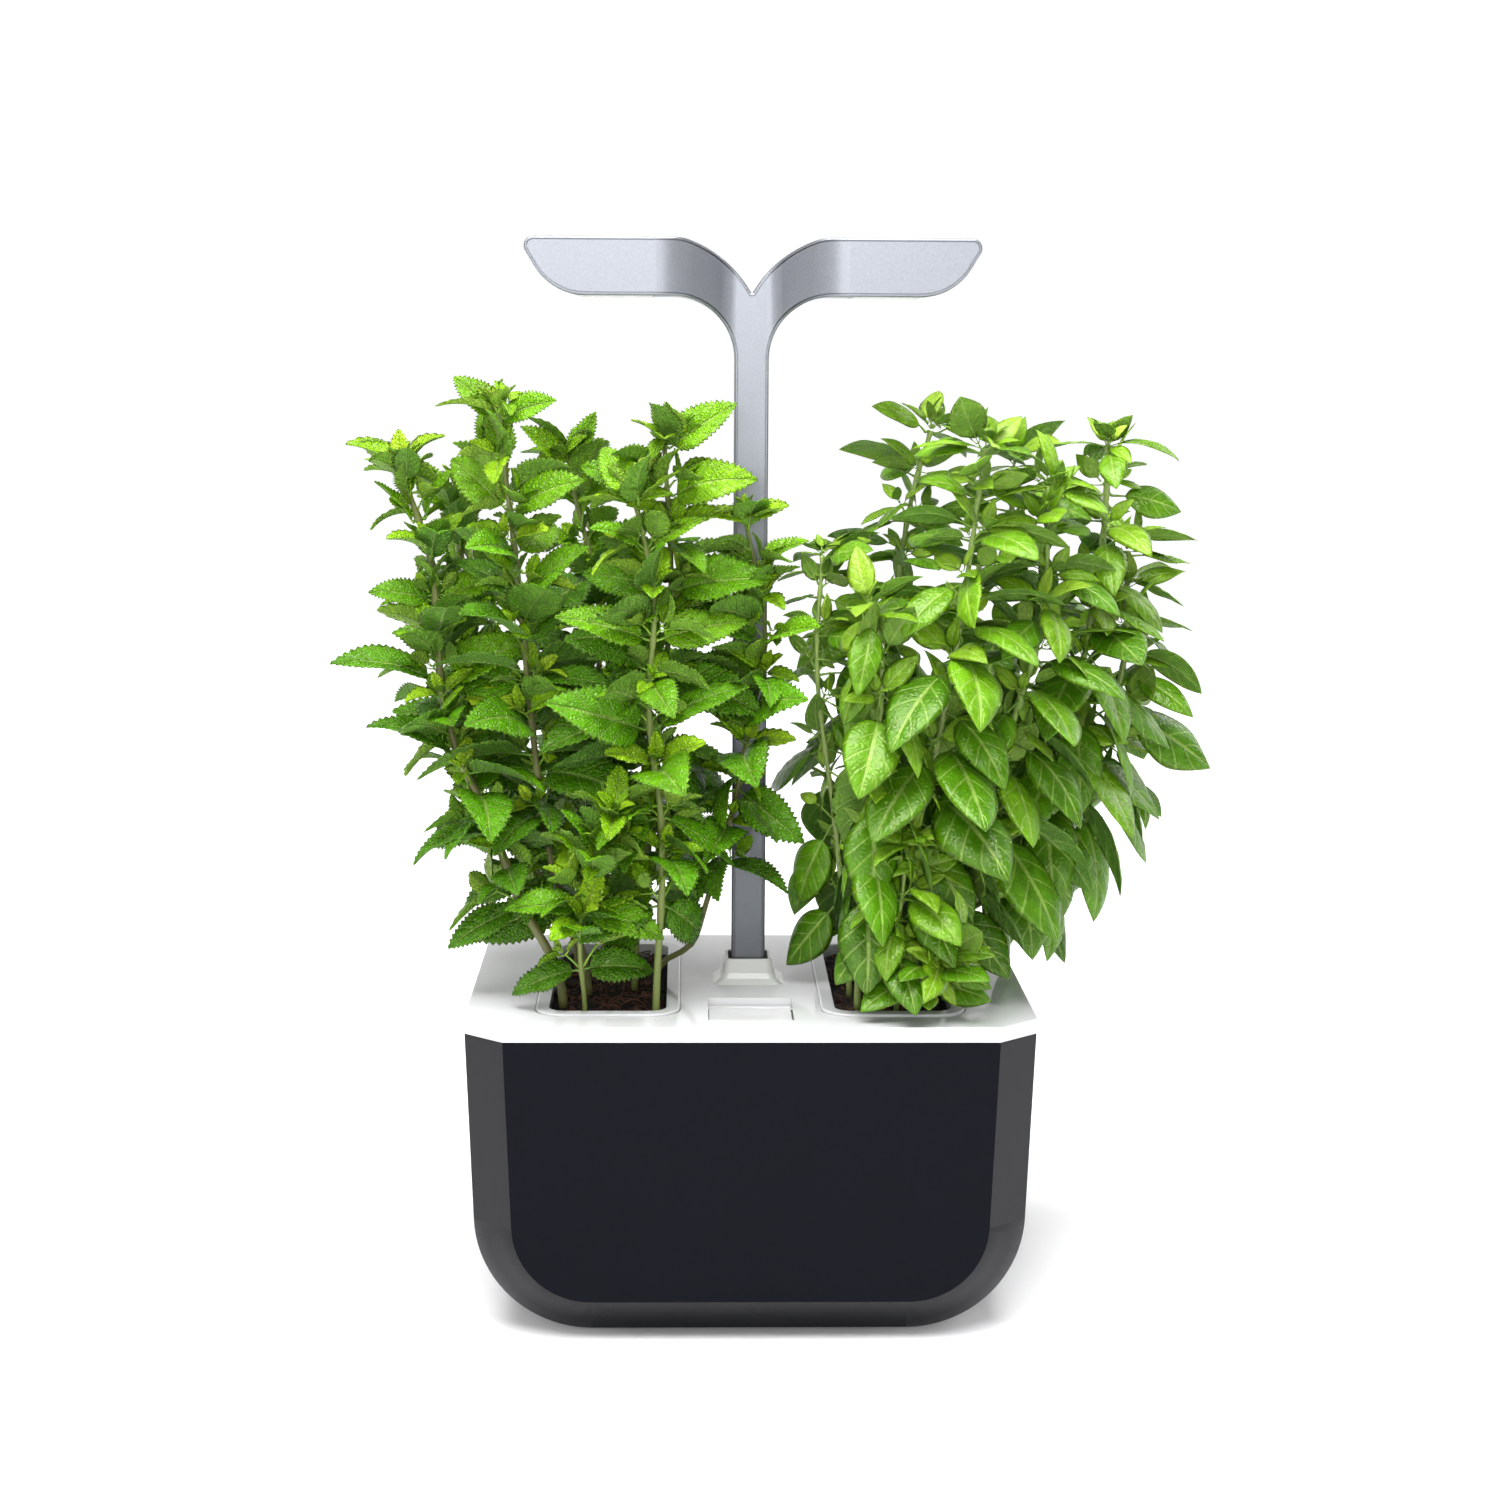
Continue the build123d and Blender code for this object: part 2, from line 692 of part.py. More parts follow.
pot_level = flange_level + flange_thickness
pot_bottom = flange_level - basket_depth
taper_loss = basket_depth * math.tan(math.radians(basket_taper))

for side, name in ((-1, "left"), (1, "right")):
    middle = side * basket_offset

    with BuildPart() as basket:
        with BuildSketch(Plane.XY.offset(flange_level)):
            with Locations((middle, 0)):
                RectangleRounded(
                    basket_width + 2 * basket_wall,
                    basket_length + 2 * basket_wall,
                    basket_corner + basket_wall,
                )
        extrude(amount=-basket_depth, taper=basket_taper)
        with BuildSketch(Plane.XY.offset(flange_level)):
            with Locations((middle, 0)):
                RectangleRounded(
                    flange_width, flange_length, basket_corner + basket_wall + flange_overhang
                )
        extrude(amount=flange_thickness)
        flange_edges = basket.faces().sort_by(Axis.Z)[-1].edges()
        fillet(flange_edges, 0.9)
        with BuildSketch(Plane.XY.offset(pot_level)):
            with Locations((middle, 0)):
                RectangleRounded(basket_width, basket_length, basket_corner)
        extrude(amount=-flange_thickness, mode=Mode.SUBTRACT)
        with BuildSketch(Plane.XY.offset(flange_level)):
            with Locations((middle, 0)):
                RectangleRounded(basket_width, basket_length, basket_corner)
        extrude(amount=-(basket_depth - basket_wall), taper=basket_taper, mode=Mode.SUBTRACT)
        # drain slots, and the slot that the wick hangs through
        with BuildSketch(Plane.XY.offset(pot_bottom)):
            with Locations((middle, 0)):
                Rectangle(wick_thickness + 2 * wick_clearance, wick_width + 2 * wick_clearance)
                with GridLocations(4 * slot_width, slot_spacing, 3, 3):
                    SlotOverall(slot_length, slot_width, rotation=90)
        extrude(amount=basket_wall, mode=Mode.SUBTRACT)
    basket.part.label = name + "_basket"
    export_step(basket.part, f"parts/{name}_basket.step")

    with BuildPart() as ingot:
        ingot_width = basket_width - 2 * (soil_clearance + (soil_drop - flange_sink)
                                          * math.tan(math.radians(basket_taper)))
        ingot_length = basket_length - basket_width + ingot_width
        with BuildSketch(Plane.XY.offset(soil_level)):
            with Locations((middle, 0)):
                RectangleRounded(ingot_width, ingot_length, basket_corner)
        extrude(amount=-(soil_level - pot_bottom - basket_wall), taper=basket_taper)
    ingot.part.label = name + "_growing_block"
    export_step(ingot.part, f"parts/{name}_growing_block.step")

    with BuildPart() as wick:
        with BuildSketch(Plane.XY.offset(pot_bottom + basket_wall)):
            with Locations((middle, 0)):
                Rectangle(wick_thickness, wick_width)
        extrude(amount=-(pot_bottom + basket_wall - tank_floor_level - wick_floor_gap))
    wick.part.label = name + "_wick"
    export_step(wick.part, f"parts/{name}_wick.step")

# ---------------------------------------------------------------- lamp


def lamp_front(inset=0.0):
    """The lamp seen from the front, `inset` inside its outline: wings, bends and mast."""
    with BuildSketch(Plane.XZ) as outline:
        with BuildLine():
            top_arc = RadiusArc(
                (0, lamp_top - notch_depth), (-bend_top_start, lamp_top), -bend_top_radius
            )
            Line(top_arc @ 1, (-wing_reach, lamp_top))
            slant = Line(
                (-wing_reach, lamp_top), (-wing_reach + tip_slant_run, lamp_top - tip_slant_drop)
            )
            tip_arc = TangentArc(slant @ 1, (-tip_arc_end, wing_floor), tangent=slant % 1)
            Line(tip_arc @ 1, (-mast_width / 2 - bend_radius, wing_floor))
            bend = RadiusArc(
                (-mast_width / 2 - bend_radius, wing_floor),
                (-mast_width / 2, wing_floor - bend_radius),
                bend_radius,
            )
            Polyline(bend @ 1, (-mast_width / 2, mast_end_level), (0, mast_end_level))
            mirror(about=Plane.YZ)
        make_face()
        corners = outline.vertices().filter_by(lambda v: abs(abs(v.X) - wing_reach) < 0.01)
        fillet(corners, tip_corner_radius)
        bends = outline.vertices().filter_by(lambda v: abs(abs(v.X) - bend_top_start) < 0.01)
        fillet(bends, bend_top_blend)
        notch = outline.vertices().filter_by(lambda v: abs(v.X) < 0.01).sort_by(Axis.Y)[-1]
        fillet(notch, notch_round)
        if inset:
            offset(amount=-inset, kind=Kind.INTERSECTION)
    return outline.sketch


def lamp_plan(inset=0.0):
    """The lamp seen from above: deep wings and a narrow neck, `inset` inside its outline."""
    with BuildSketch() as plan:
        neck = mast_depth / 2
        with BuildLine():
            quarter = FilletPolyline(
                (wing_reach + 10, -wing_half_depth),
                (plan_flat_start, -wing_half_depth),
                (plan_neck_end, -neck),
                (0, -neck),
                radius=(plan_fillet, neck_fillet),
            )
            mirror(quarter, about=Plane.YZ)
            mirror(about=Plane.XZ)
            Line((wing_reach + 10, -wing_half_depth), (wing_reach + 10, wing_half_depth))
            Line((-wing_reach - 10, -wing_half_depth), (-wing_reach - 10, wing_half_depth))
        make_face()
        if inset:
            offset(amount=-inset, kind=Kind.INTERSECTION)
    return plan.sketch


def lamp_front_skin():
    """The front cover seen from above: a band along the front of the lamp's plan."""
    with BuildSketch() as skin:
        add(lamp_plan())
        add(lamp_plan(cover_skin), mode=Mode.SUBTRACT)
        with Locations((0, -wing_half_depth)):
            Rectangle(2 * wing_reach, 2 * wing_half_depth, mode=Mode.INTERSECT)
    return skin.sketch


with BuildPart() as lamp_form:
    with BuildSketch(Plane.XZ.offset(-wing_half_depth)):
        add(lamp_front())
    extrude(amount=2 * wing_half_depth)
    with BuildSketch(Plane.XY.offset(mast_end_level)):
        add(lamp_plan())
    extrude(amount=lamp_top - mast_end_level, mode=Mode.INTERSECT)
    # round the edges between the outline's faces and the front and back faces
    outline_faces = lamp_form.faces().filter_by(lambda f: abs(f.normal_at().Y) < 0.001)
    flat_faces = lamp_form.faces().filter_by(lambda f: abs(f.normal_at().Y) > 0.001)
    outline_edges = outline_faces.edges()
    rim_edges = [e for e in flat_faces.edges() if any(e.is_same(o) for o in outline_edges)]
    fillet(rim_edges, lamp_edge_round)

with BuildPart() as lamp_hollow:
    with BuildSketch(Plane.XZ.offset(-wing_half_depth)):
        add(lamp_front(lamp_wall))
    extrude(amount=2 * wing_half_depth)
    with BuildSketch(Plane.XY.offset(mast_end_level)):
        add(lamp_plan(cover_skin))
    extrude(amount=lamp_top - mast_end_level, mode=Mode.INTERSECT)

with BuildPart() as cover_seat:
    with BuildSketch(Plane.XZ.offset(-wing_half_depth)):
        add(lamp_front(cover_inset - cover_gap))
    extrude(amount=2 * wing_half_depth)
    with BuildSketch(Plane.XY.offset(mast_end_level)):
        add(lamp_front_skin())
    extrude(amount=lamp_top - mast_end_level, mode=Mode.INTERSECT)

with BuildPart() as lamp_cover:
    with BuildSketch(Plane.XZ.offset(-wing_half_depth)):
        add(lamp_front(cover_inset))
    extrude(amount=2 * wing_half_depth)
    with BuildSketch(Plane.XY.offset(mast_end_level)):
        add(lamp_front_skin())
    extrude(amount=lamp_top - mast_end_level, mode=Mode.INTERSECT)
lamp_cover.part.label = "lamp_cover"
export_step(lamp_cover.part, "parts/lamp_cover.step")

with BuildPart() as lamp_shell:
    add(lamp_form.part)
    add(lamp_hollow.part, mode=Mode.SUBTRACT)
    add(cover_seat.part, mode=Mode.SUBTRACT)
    # open lower end of the mast, for the foot's spigot
    with BuildSketch(Plane.XY.offset(mast_end_level)):
        Rectangle(mast_width - 2 * lamp_wall, mast_depth - 2 * cover_skin)
    extrude(amount=2 * lamp_wall, mode=Mode.SUBTRACT)
    # windows for the diffusers, each with a ledge on both sides that carries the light board
    with BuildSketch(Plane.XY.offset(wing_floor + lamp_wall / 2)):
        with GridLocations(2 * led_board_middle, 0, 2, 1):
            Rectangle(led_board_length, led_board_width)
    extrude(amount=led_board_lift - lamp_wall / 2)
    with BuildSketch(Plane.XY.offset(wing_floor)):
        with GridLocations(2 * led_board_middle, 0, 2, 1):
            Rectangle(
                diffuser_length + 2 * diffuser_clearance, diffuser_width + 2 * diffuser_clearance
            )
    extrude(amount=led_board_lift, mode=Mode.SUBTRACT)
    # shallow channel for the contact strip down the back of the mast
    with BuildSketch(Plane.XZ.offset(-mast_depth / 2)):
        with Locations((0, (strip_bottom + strip_top) / 2)):
            Rectangle(contact_width, strip_top - strip_bottom)
    extrude(amount=contact_thickness, mode=Mode.SUBTRACT)
lamp_shell.part.label = "lamp_shell"
export_step(lamp_shell.part, "parts/lamp_shell.step")

with BuildPart() as contact_strip:
    with BuildSketch(Plane.XZ.offset(-mast_depth / 2)):
        with Locations((0, (strip_bottom + strip_top) / 2)):
            Rectangle(contact_width, strip_top - strip_bottom)
    extrude(amount=contact_thickness)
contact_strip.part.label = "contact_strip"
export_step(contact_strip.part, "parts/contact_strip.step")

with BuildPart() as mast_foot:
    with BuildSketch(Plane.XY.offset(mast_foot_level)):
        Rectangle(mast_width, mast_depth)
        Rectangle(mast_width + 2 * lug_reach, lug_width)
    extrude(amount=lug_height)
    with BuildSketch(Plane.XY.offset(mast_end_level)):
        Rectangle(
            mast_width - 2 * (lamp_wall + spigot_clearance),
            mast_depth - 2 * (cover_skin + spigot_clearance),
        )
    extrude(amount=foot_spigot_height)
mast_foot.part.label = "mast_foot"
export_step(mast_foot.part, "parts/mast_foot.step")

for side, name in ((-1, "left"), (1, "right")):
    middle = side * led_board_middle
    board_underside = wing_floor + led_board_lift

    with BuildPart() as light_board:
        with BuildSketch(Plane.XY.offset(board_underside)):
            with Locations((middle, 0)):
                Rectangle(led_board_length, led_board_width)
        extrude(amount=led_board_thickness)
    light_board.part.label = name + "_light_board"
    export_step(light_board.part, f"parts/{name}_light_board.step")

    with BuildPart() as light_chips:
        with BuildSketch(Plane.XY.offset(board_underside)):
            with Locations((middle, 0)):
                with GridLocations(led_pitch_x, led_pitch_y, 3, 3):
                    Rectangle(led_chip, led_chip)
        extrude(amount=-led_chip_height)
    light_chips.part.label = name + "_light_chips"
    export_step(light_chips.part, f"parts/{name}_light_chips.step")

    with BuildPart() as diffuser:
        with BuildSketch(Plane.XY.offset(wing_floor - diffuser_drop)):
            with Locations((middle, 0)):
                RectangleRounded(diffuser_length, diffuser_width, 0.4)
        extrude(amount=diffuser_thickness)
    diffuser.part.label = name + "_diffuser"
    export_step(diffuser.part, f"parts/{name}_diffuser.step")

with BuildPart() as lamp_wires:
    board_top = wing_floor + led_board_lift + led_board_thickness
    wire_end = mast_end_level + foot_spigot_height
    for side in (-1, 1):
        wire_start = (side * (led_board_middle - 13), 0, board_top)
        with BuildLine() as wire_line:
            FilletPolyline(
                wire_start,
                (wire_start[0], 0, board_top + 5),
                (side * 22, 0, lamp_top - 15.5),
                (side * 2.4, 0, lamp_top - 35),
                (side * 2.4, 0, wire_end),
                radius=[2.5, 12, 8],
            )
        with BuildSketch(Plane.XY.offset(board_top)):
            with Locations(wire_start[:2]):
                Circle(wire_radius)
        sweep(path=wire_line.line)
lamp_wires.part.label = "lamp_wires"
export_step(lamp_wires.part, "parts/lamp_wires.step")

# ---------------------------------------------------------------- plants

# Each stem: its points as x, y and height over the plate's top, from the growing block up, then its
# radius, how far up the first leaves sit, how many pairs it has, its largest leaf, its first turn
# and how far its lowest and its highest leaves tilt up.
mint_stems = [
    ([(-80, -38), (-96, -34, 37), (-109, -29, 69), (-130, -21, 119), (-137, -11, 186),
      (-149, -5, 222)], 2.0, 0.20, 12, 44, 10, -20, 45),
    ([(-70, -16), (-81, -19, 39), (-91, -23, 93), (-99, -30, 183), (-106, -36, 251)],
     1.7, 0.18, 12, 51, 60, -20, 45),
    ([(-76, 24), (-98, 26, 48), (-115, 28, 102), (-124, 33, 166), (-132, 36, 207)],
     1.5, 0.22, 11, 43, 0, -20, 45),
    ([(-60, 38), (-65, 38, 46), (-69, 39, 92), (-67, 41, 160), (-81, 42, 226)],
     1.5, 0.20, 11, 50, 30, -20, 45),
    ([(-40, -54), (-38, -54, 82), (-43, -53, 132), (-41, -53, 175), (-49, -52, 216)],
     1.6, 0.22, 10, 48, 15, -30, 40),
    ([(-50, -8), (-44, -18, 61), (-38, -25, 128), (-34, -32, 171), (-37, -38, 239)],
     1.5, 0.18, 11, 56, 75, -25, 16),
    ([(-41, 4), (-27, -3, 14), (-20, -10, 31), (-15, -14, 49), (-7, -18, 81), (3, -22, 132),
      (6, -24, 157), (3, -27, 180), (-3, -31, 205)], 1.3, 0.32, 10, 45, 5, -30, 40),
    ([(-70, -55), (-72, -58, 27), (-67, -59, 57), (-58, -60, 82)], 1.1, 0.25, 6, 39, 0, -15, 40),
]
basil_stems = [
    ([(50, 30), (55, 32, 29), (61, 33, 74), (66, 36, 140), (74, 39, 215), (82, 41, 243)],
     1.6, 0.18, 11, 53, 20, -66, 5),
    ([(58, -30), (80, -31, 38), (94, -32, 64), (112, -33, 121), (123, -34, 164),
      (124, -36, 222)], 1.7, 0.16, 12, 56, 50, -66, 0),
    ([(72, 0), (100, -1, 36), (128, -3, 81), (148, -6, 161), (153, -7, 213), (153, -8, 238)],
     1.7, 0.20, 12, 56, 0, -70, -10),
    ([(50, -50), (61, -50, 46), (73, -49, 89), (88, -49, 174), (96, -48, 238)],
     1.5, 0.18, 12, 57, 35, -68, 5),
    ([(44, -20), (41, -17, 39), (36, -13, 83), (29, -9, 140), (31, -6, 190)],
     1.3, 0.22, 10, 49, 0, -66, 5),
    ([(79, 22), (110, 22, 32), (149, 23, 81), (168, 25, 140), (168, 26, 190)],
     1.5, 0.22, 11, 53, 10, -72, -20),
    ([(66, 46), (87, 46, 49), (100, 47, 100), (117, 49, 168), (120, 50, 228)],
     1.5, 0.16, 11, 53, 80, -66, 0),
    ([(46, -44), (47, -52, 40), (50, -57, 100), (53, -59, 150), (50, -58, 170)],
     1.5, 0.34, 7, 59, 70, -80, -55),
    ([(50, -55), (57, -58, 22), (63, -61, 49), (65, -62, 75)], 1.1, 0.25, 6, 40, 15, -60, 10),
    ([(62, -50), (66, -55, 8), (73, -61, 18), (80, -65, 26)], 1.1, 0.55, 4, 40, 0, -15, 5),
]


def unit(vector):
    """The vector with a length of one."""
    return vector / np.linalg.norm(vector)


def stem_line(points):
    """The middle line of a stem, straight up out of the growing block and smooth from there."""
    base = (*points[0], -soil_drop)
    line = [Vector(x, y, top_level + height) for x, y, height in (base, *points[1:])]
    end_direction = (line[-1] - line[-2]).normalized()
    return Edge.make_spline(line, tangents=[Vector(0, 0, 1), end_direction])


def along(line, share):
    """A point of a stem's line and its direction there, as arrays."""
    return np.array(tuple(line.position_at(share))), np.array(tuple(line.tangent_at(share)))


def leaf_outline(length, width, petiole):
    """Corners of a flat leaf from its stalk to its tip, as distances along and across it."""
    blade = length - petiole
    half = [
        (0, petiole_width / 2),
        (petiole, petiole_width / 2),
        (petiole + 0.28 * blade, width / 2),
        (petiole + 0.62 * blade, 0.4 * width),
        (length, 0),
    ]
    return half + [(u, -v) for u, v in reversed(half[:-1])]


def outline_samples(corners, spacing=2.5):
    """Points along a leaf's edge and its midrib, as distances along and across it."""
    samples = []
    for start, end in zip(corners, corners[1:] + corners[:1]):
        start, end = np.array(start), np.array(end)
        steps = max(1, int(np.linalg.norm(end - start) / spacing))
        samples += [start + (end - start) * k / steps for k in range(steps)]
    length = max(u for u, v in corners)
    samples += [np.array((length * k / 12, 0.0)) for k in range(12)]
    return np.array(samples)


def in_lamp_way(points):
    """Points in the path of the mast, of its socket or of the wings as the lamp comes down."""
    x, y, height = np.abs(points[:, 0]), np.abs(points[:, 1]), points[:, 2] - top_level
    mast = (x < mast_width / 2 + 2.5) & (y < mast_depth / 2 + 2.5)
    socket = (x < socket_base_width / 2 + 1) & (y < socket_base_depth / 2 + 2)
    under_wings = (x < wing_reach + 1) & (y < wing_half_depth + 2.5)
    low_wings = height > lamp_rise - wing_height - lamp_travel_down - 3
    low_bends = height > lamp_rise - wing_height - bend_radius - lamp_travel_down - 3
    return (
        mast
        | socket & (height < socket_height + 3)
        | under_wings & low_wings
        | under_wings & low_bends & (x < mast_width / 2 + bend_radius)
    )


def in_flap_way(points):
    """Points in the path of the filler's flap, or too near the plate."""
    x, y, height = np.abs(points[:, 0]), points[:, 1], points[:, 2] - top_level
    over_filler = (x < filler_width / 2 + 2) & (y > -body_depth / 2) & (y < filler_back_y + 4)
    return over_filler & (height < filler_length + 5) | (height < 3)


def beyond_share(points, side):
    """Points outside a plant's own share of the space, so that each basket lifts out alone."""
    x, y, height = points[:, 0], points[:, 1], points[:, 2] - top_level
    border = np.where(y < plant_border_y, plant_border_front, plant_border_back)
    other_basket = (side * x < -(basket_offset - flange_width / 2 - 2)) & (
        height < basket_travel + 3
    )
    return (side * (x - border) < 0.6) | other_basket


def leaf_places(stems, side, slenderness, petiole_share):
    """Where each leaf sits: its size, base, direction and upper side, in opposite pairs.

    A leaf that would touch another one, a stem, the lamp's path or the flap's is turned
    about its stem, tilted or rolled until it is clear, and left out if it never is.
    """
    lines = [stem_line(points) for points, *_ in stems]
    stem_points = [
        (np.array([along(line, share)[0] for share in np.linspace(0, 1, 110)]), stem[1])
        for line, stem in zip(lines, stems)
    ]
    placed = []
    for line, (_, radius, first, pairs, largest, turn, low_tilt, high_tilt) in zip(lines, stems):
        for k in range(pairs):
            rise = k / (pairs - 1)
            share = first + (0.985 - first) * rise
            point, tangent = along(line, share)
            length = largest * (0.80 + 0.35 * math.sin(math.pi * min(1, 1.25 * rise)) - 0.15 * rise)
            length *= 1 - 0.1 * (k % 3)
            tilt = low_tilt + (high_tilt - low_tilt) * rise + leaf_sway * math.sin(2.1 * k)
            for half_turn in (0, 180):
                leaf = clear_leaf(
                    point, tangent, radius, length, tilt, turn + 90 * k + half_turn,
                    side, slenderness, petiole_share, stem_points, placed,
                )
                if leaf:
                    placed.append(leaf)
    return placed


def clear_leaf(
    point, tangent, radius, length, tilt, turn, side, slenderness, petiole_share,
    stem_points, placed,
):
    """The first position of a leaf, near the wanted one, that is clear of everything."""
    up, front = np.array((0.0, 0, 1)), np.array((0.0, -1, 0))
    for size in (1.0, 0.8):
        reach = round(length * size)
        width = round(reach * slenderness, 1)
        petiole = round(reach * petiole_share, 1)
        corners = leaf_outline(reach, width, petiole)
        flat = outline_samples(corners)
        for extra_tilt in (0, 14, -14):
            for extra_turn in (0, 20, -20, 40, -40, 60, -60):
                around = math.radians(turn + extra_turn)
                climb = math.radians(tilt + extra_tilt)
                direction = np.array((
                    math.cos(climb) * math.cos(around),
                    math.cos(climb) * math.sin(around),
                    math.sin(climb),
                ))
                outward = direction - direction @ tangent * tangent
                if np.linalg.norm(outward) < 0.3:
                    continue
                base = point + unit(outward) * (radius + stem_leaf_gap)
                up_side = unit(up - up @ direction * direction)
                front_side = front - front @ direction * direction
                for roll in (35, 65, 5):
                    normal = unit(
                        up_side * math.cos(math.radians(roll))
                        + front_side * math.sin(math.radians(roll))
                    )
                    across = np.cross(normal, direction)
                    points = base + flat[:, :1] * direction + flat[:, 1:] * across
                    leaf = (reach, width, petiole, base, direction, normal, across, points)
                    if is_clear(leaf, side, stem_points, placed):
                        return leaf
    return None


def is_clear(leaf, side, stem_points, placed):
    """Whether a leaf touches no stem, no placed leaf and no moving part's path."""
    points = leaf[-1]
    if in_lamp_way(points).any() or in_flap_way(points).any() or beyond_share(points, side).any():
        return False
    if any(near_leaf(stem, leaf, radius + 1.2, 4) for stem, radius in stem_points):
        return False
    return not any(
        near_leaf(points, other, 1.3, -1) or near_leaf(other[-1], leaf, 1.3, -1)
        for other in placed
    )


def near_leaf(points, leaf, margin, start):
    """Whether any of the points lies within `margin` of a leaf, past `start` along it."""
    reach, width, petiole, base, direction, normal, across, _ = leaf
    from_base = points - base
    u, v, w = from_base @ direction, from_base @ across, from_base @ normal
    blade = reach - petiole
    half_width = np.interp(
        u,
        (0, petiole, petiole + 0.28 * blade, petiole + 0.62 * blade, reach),
        (petiole_width / 2, petiole_width / 2, width / 2, 0.4 * width, 0),
    )
    near = (np.abs(w) < margin) & (u > start) & (u < reach + margin)
    return bool((near & (np.abs(v) < half_width + margin)).any())


mint_leaf_places = leaf_places(mint_stems, -1, 0.53, 0.06)
basil_leaf_places = leaf_places(basil_stems, 1, 0.51, 0.17)

for stems, places, name in (
    (mint_stems, mint_leaf_places, "mint"),
    (basil_stems, basil_leaf_places, "basil"),
):
    with BuildPart() as plant_stems:
        for points, radius, *_ in stems:
            line = stem_line(points)
            with BuildSketch(Plane.XY.offset(soil_level)):
                with Locations(points[0]):
                    Circle(radius)
            sweep(path=line)
    plant_stems.part.label = name + "_stems"
    export_step(plant_stems.part, f"parts/{name}_stems.step")

    with BuildPart() as plant_leaves:
        for reach, width, petiole in sorted({place[:3] for place in places}):
            leaf_planes = [
                Plane(origin=tuple(base), x_dir=tuple(direction), z_dir=tuple(normal))
                for size, _, _, base, direction, normal, _, _ in places
                if size == reach
            ]
            with BuildSketch(*leaf_planes):
                Polygon(*leaf_outline(reach, width, petiole), align=None)
            extrude(amount=leaf_thickness / 2, both=True)
    plant_leaves.part.label = name + "_leaves"
    export_step(plant_leaves.part, f"parts/{name}_leaves.step")
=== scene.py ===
import math
import random

import bpy
import numpy as np
from mathutils import Matrix, Vector


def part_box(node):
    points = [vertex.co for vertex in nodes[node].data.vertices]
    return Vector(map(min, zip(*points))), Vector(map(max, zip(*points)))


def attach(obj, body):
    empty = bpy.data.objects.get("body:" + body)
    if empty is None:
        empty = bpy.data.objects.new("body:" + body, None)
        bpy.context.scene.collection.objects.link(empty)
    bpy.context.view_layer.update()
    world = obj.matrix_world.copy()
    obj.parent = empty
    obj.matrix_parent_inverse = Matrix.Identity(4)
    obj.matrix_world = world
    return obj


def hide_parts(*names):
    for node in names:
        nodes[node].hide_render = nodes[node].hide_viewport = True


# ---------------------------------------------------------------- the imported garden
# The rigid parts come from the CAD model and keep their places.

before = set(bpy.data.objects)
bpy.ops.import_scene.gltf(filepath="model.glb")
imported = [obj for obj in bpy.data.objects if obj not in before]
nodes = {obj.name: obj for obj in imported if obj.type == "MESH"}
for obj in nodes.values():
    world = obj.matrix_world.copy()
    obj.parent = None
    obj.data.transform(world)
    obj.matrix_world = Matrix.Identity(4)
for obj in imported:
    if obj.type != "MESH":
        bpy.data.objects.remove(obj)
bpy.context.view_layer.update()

# ---------------------------------------------------------------- camera
# A long lens a little over a metre in front of the garden, level with the lamp and a little
# to the left, looking slightly down and slightly to the right.

camera_place = Vector((-0.02749, -1.14339, 0.41894))
camera_down = math.radians(8.94)
camera_right = math.radians(1.40)
camera_roll = math.radians(0.36)
lens = bpy.data.cameras.new("camera")
lens.sensor_width = 36.0
lens.lens = 63.41
camera = bpy.data.objects.new("camera", lens)
bpy.context.scene.collection.objects.link(camera)
camera.matrix_world = (
    Matrix.Translation(camera_place)
    @ Matrix.Rotation(-camera_right, 4, "Z")
    @ Matrix.Rotation(math.pi / 2 - camera_down, 4, "X")
    @ Matrix.Rotation(camera_roll, 4, "Z")
)
bpy.context.scene.camera = camera

# ---------------------------------------------------------------- studio
# A white table that runs out to a white horizon under a dimmer sky. One large soft light hangs
# overhead, a broad one stands in front, and two weaker ones to the left and behind on the right.

bpy.context.scene.view_settings.view_transform = "Standard"
bpy.context.scene.view_settings.look = "None"


def new_material(name):
    """An empty node material: the material, its node tree and its principled shader."""
    material = bpy.data.materials.new(name)
    material.use_nodes = True
    tree = material.node_tree
    return material, tree, tree.nodes["Principled BSDF"]


def node(tree, kind, **settings):
    """Adds a shader node; settings with a leading capital are inputs, the rest attributes."""
    made = tree.nodes.new(kind)
    for key, value in settings.items():
        if key[0].isupper():
            made.inputs[key.replace("_", " ")].default_value = value
        else:
            setattr(made, key, value)
    return made


def ranged(tree, value, low, high, to_low=0.0, to_high=1.0, kind="SMOOTHSTEP"):
    """A value carried from one range to another, and held at its ends."""
    made = node(
        tree, "ShaderNodeMapRange", interpolation_type=kind,
        From_Min=low, From_Max=high, To_Min=to_low, To_Max=to_high,
    )
    tree.links.new(value, made.inputs["Value"])
    return made.outputs["Result"]


sky = bpy.data.worlds.new("sky")
sky.use_nodes = True
bpy.context.scene.world = sky
sky_tree = sky.node_tree
backdrop = sky_tree.nodes["Background"]
backdrop.inputs["Color"].default_value = (1.0, 1.0, 1.0, 1)
sky_split = node(sky_tree, "ShaderNodeSeparateXYZ")
sky_tree.links.new(
    node(sky_tree, "ShaderNodeTexCoord").outputs["Generated"], sky_split.inputs["Vector"]
)
sky_fade = ranged(sky_tree, sky_split.outputs["Z"], 0.13, 0.42, to_low=1.02, to_high=0.22)
sky_tree.links.new(sky_fade, backdrop.inputs["Strength"])


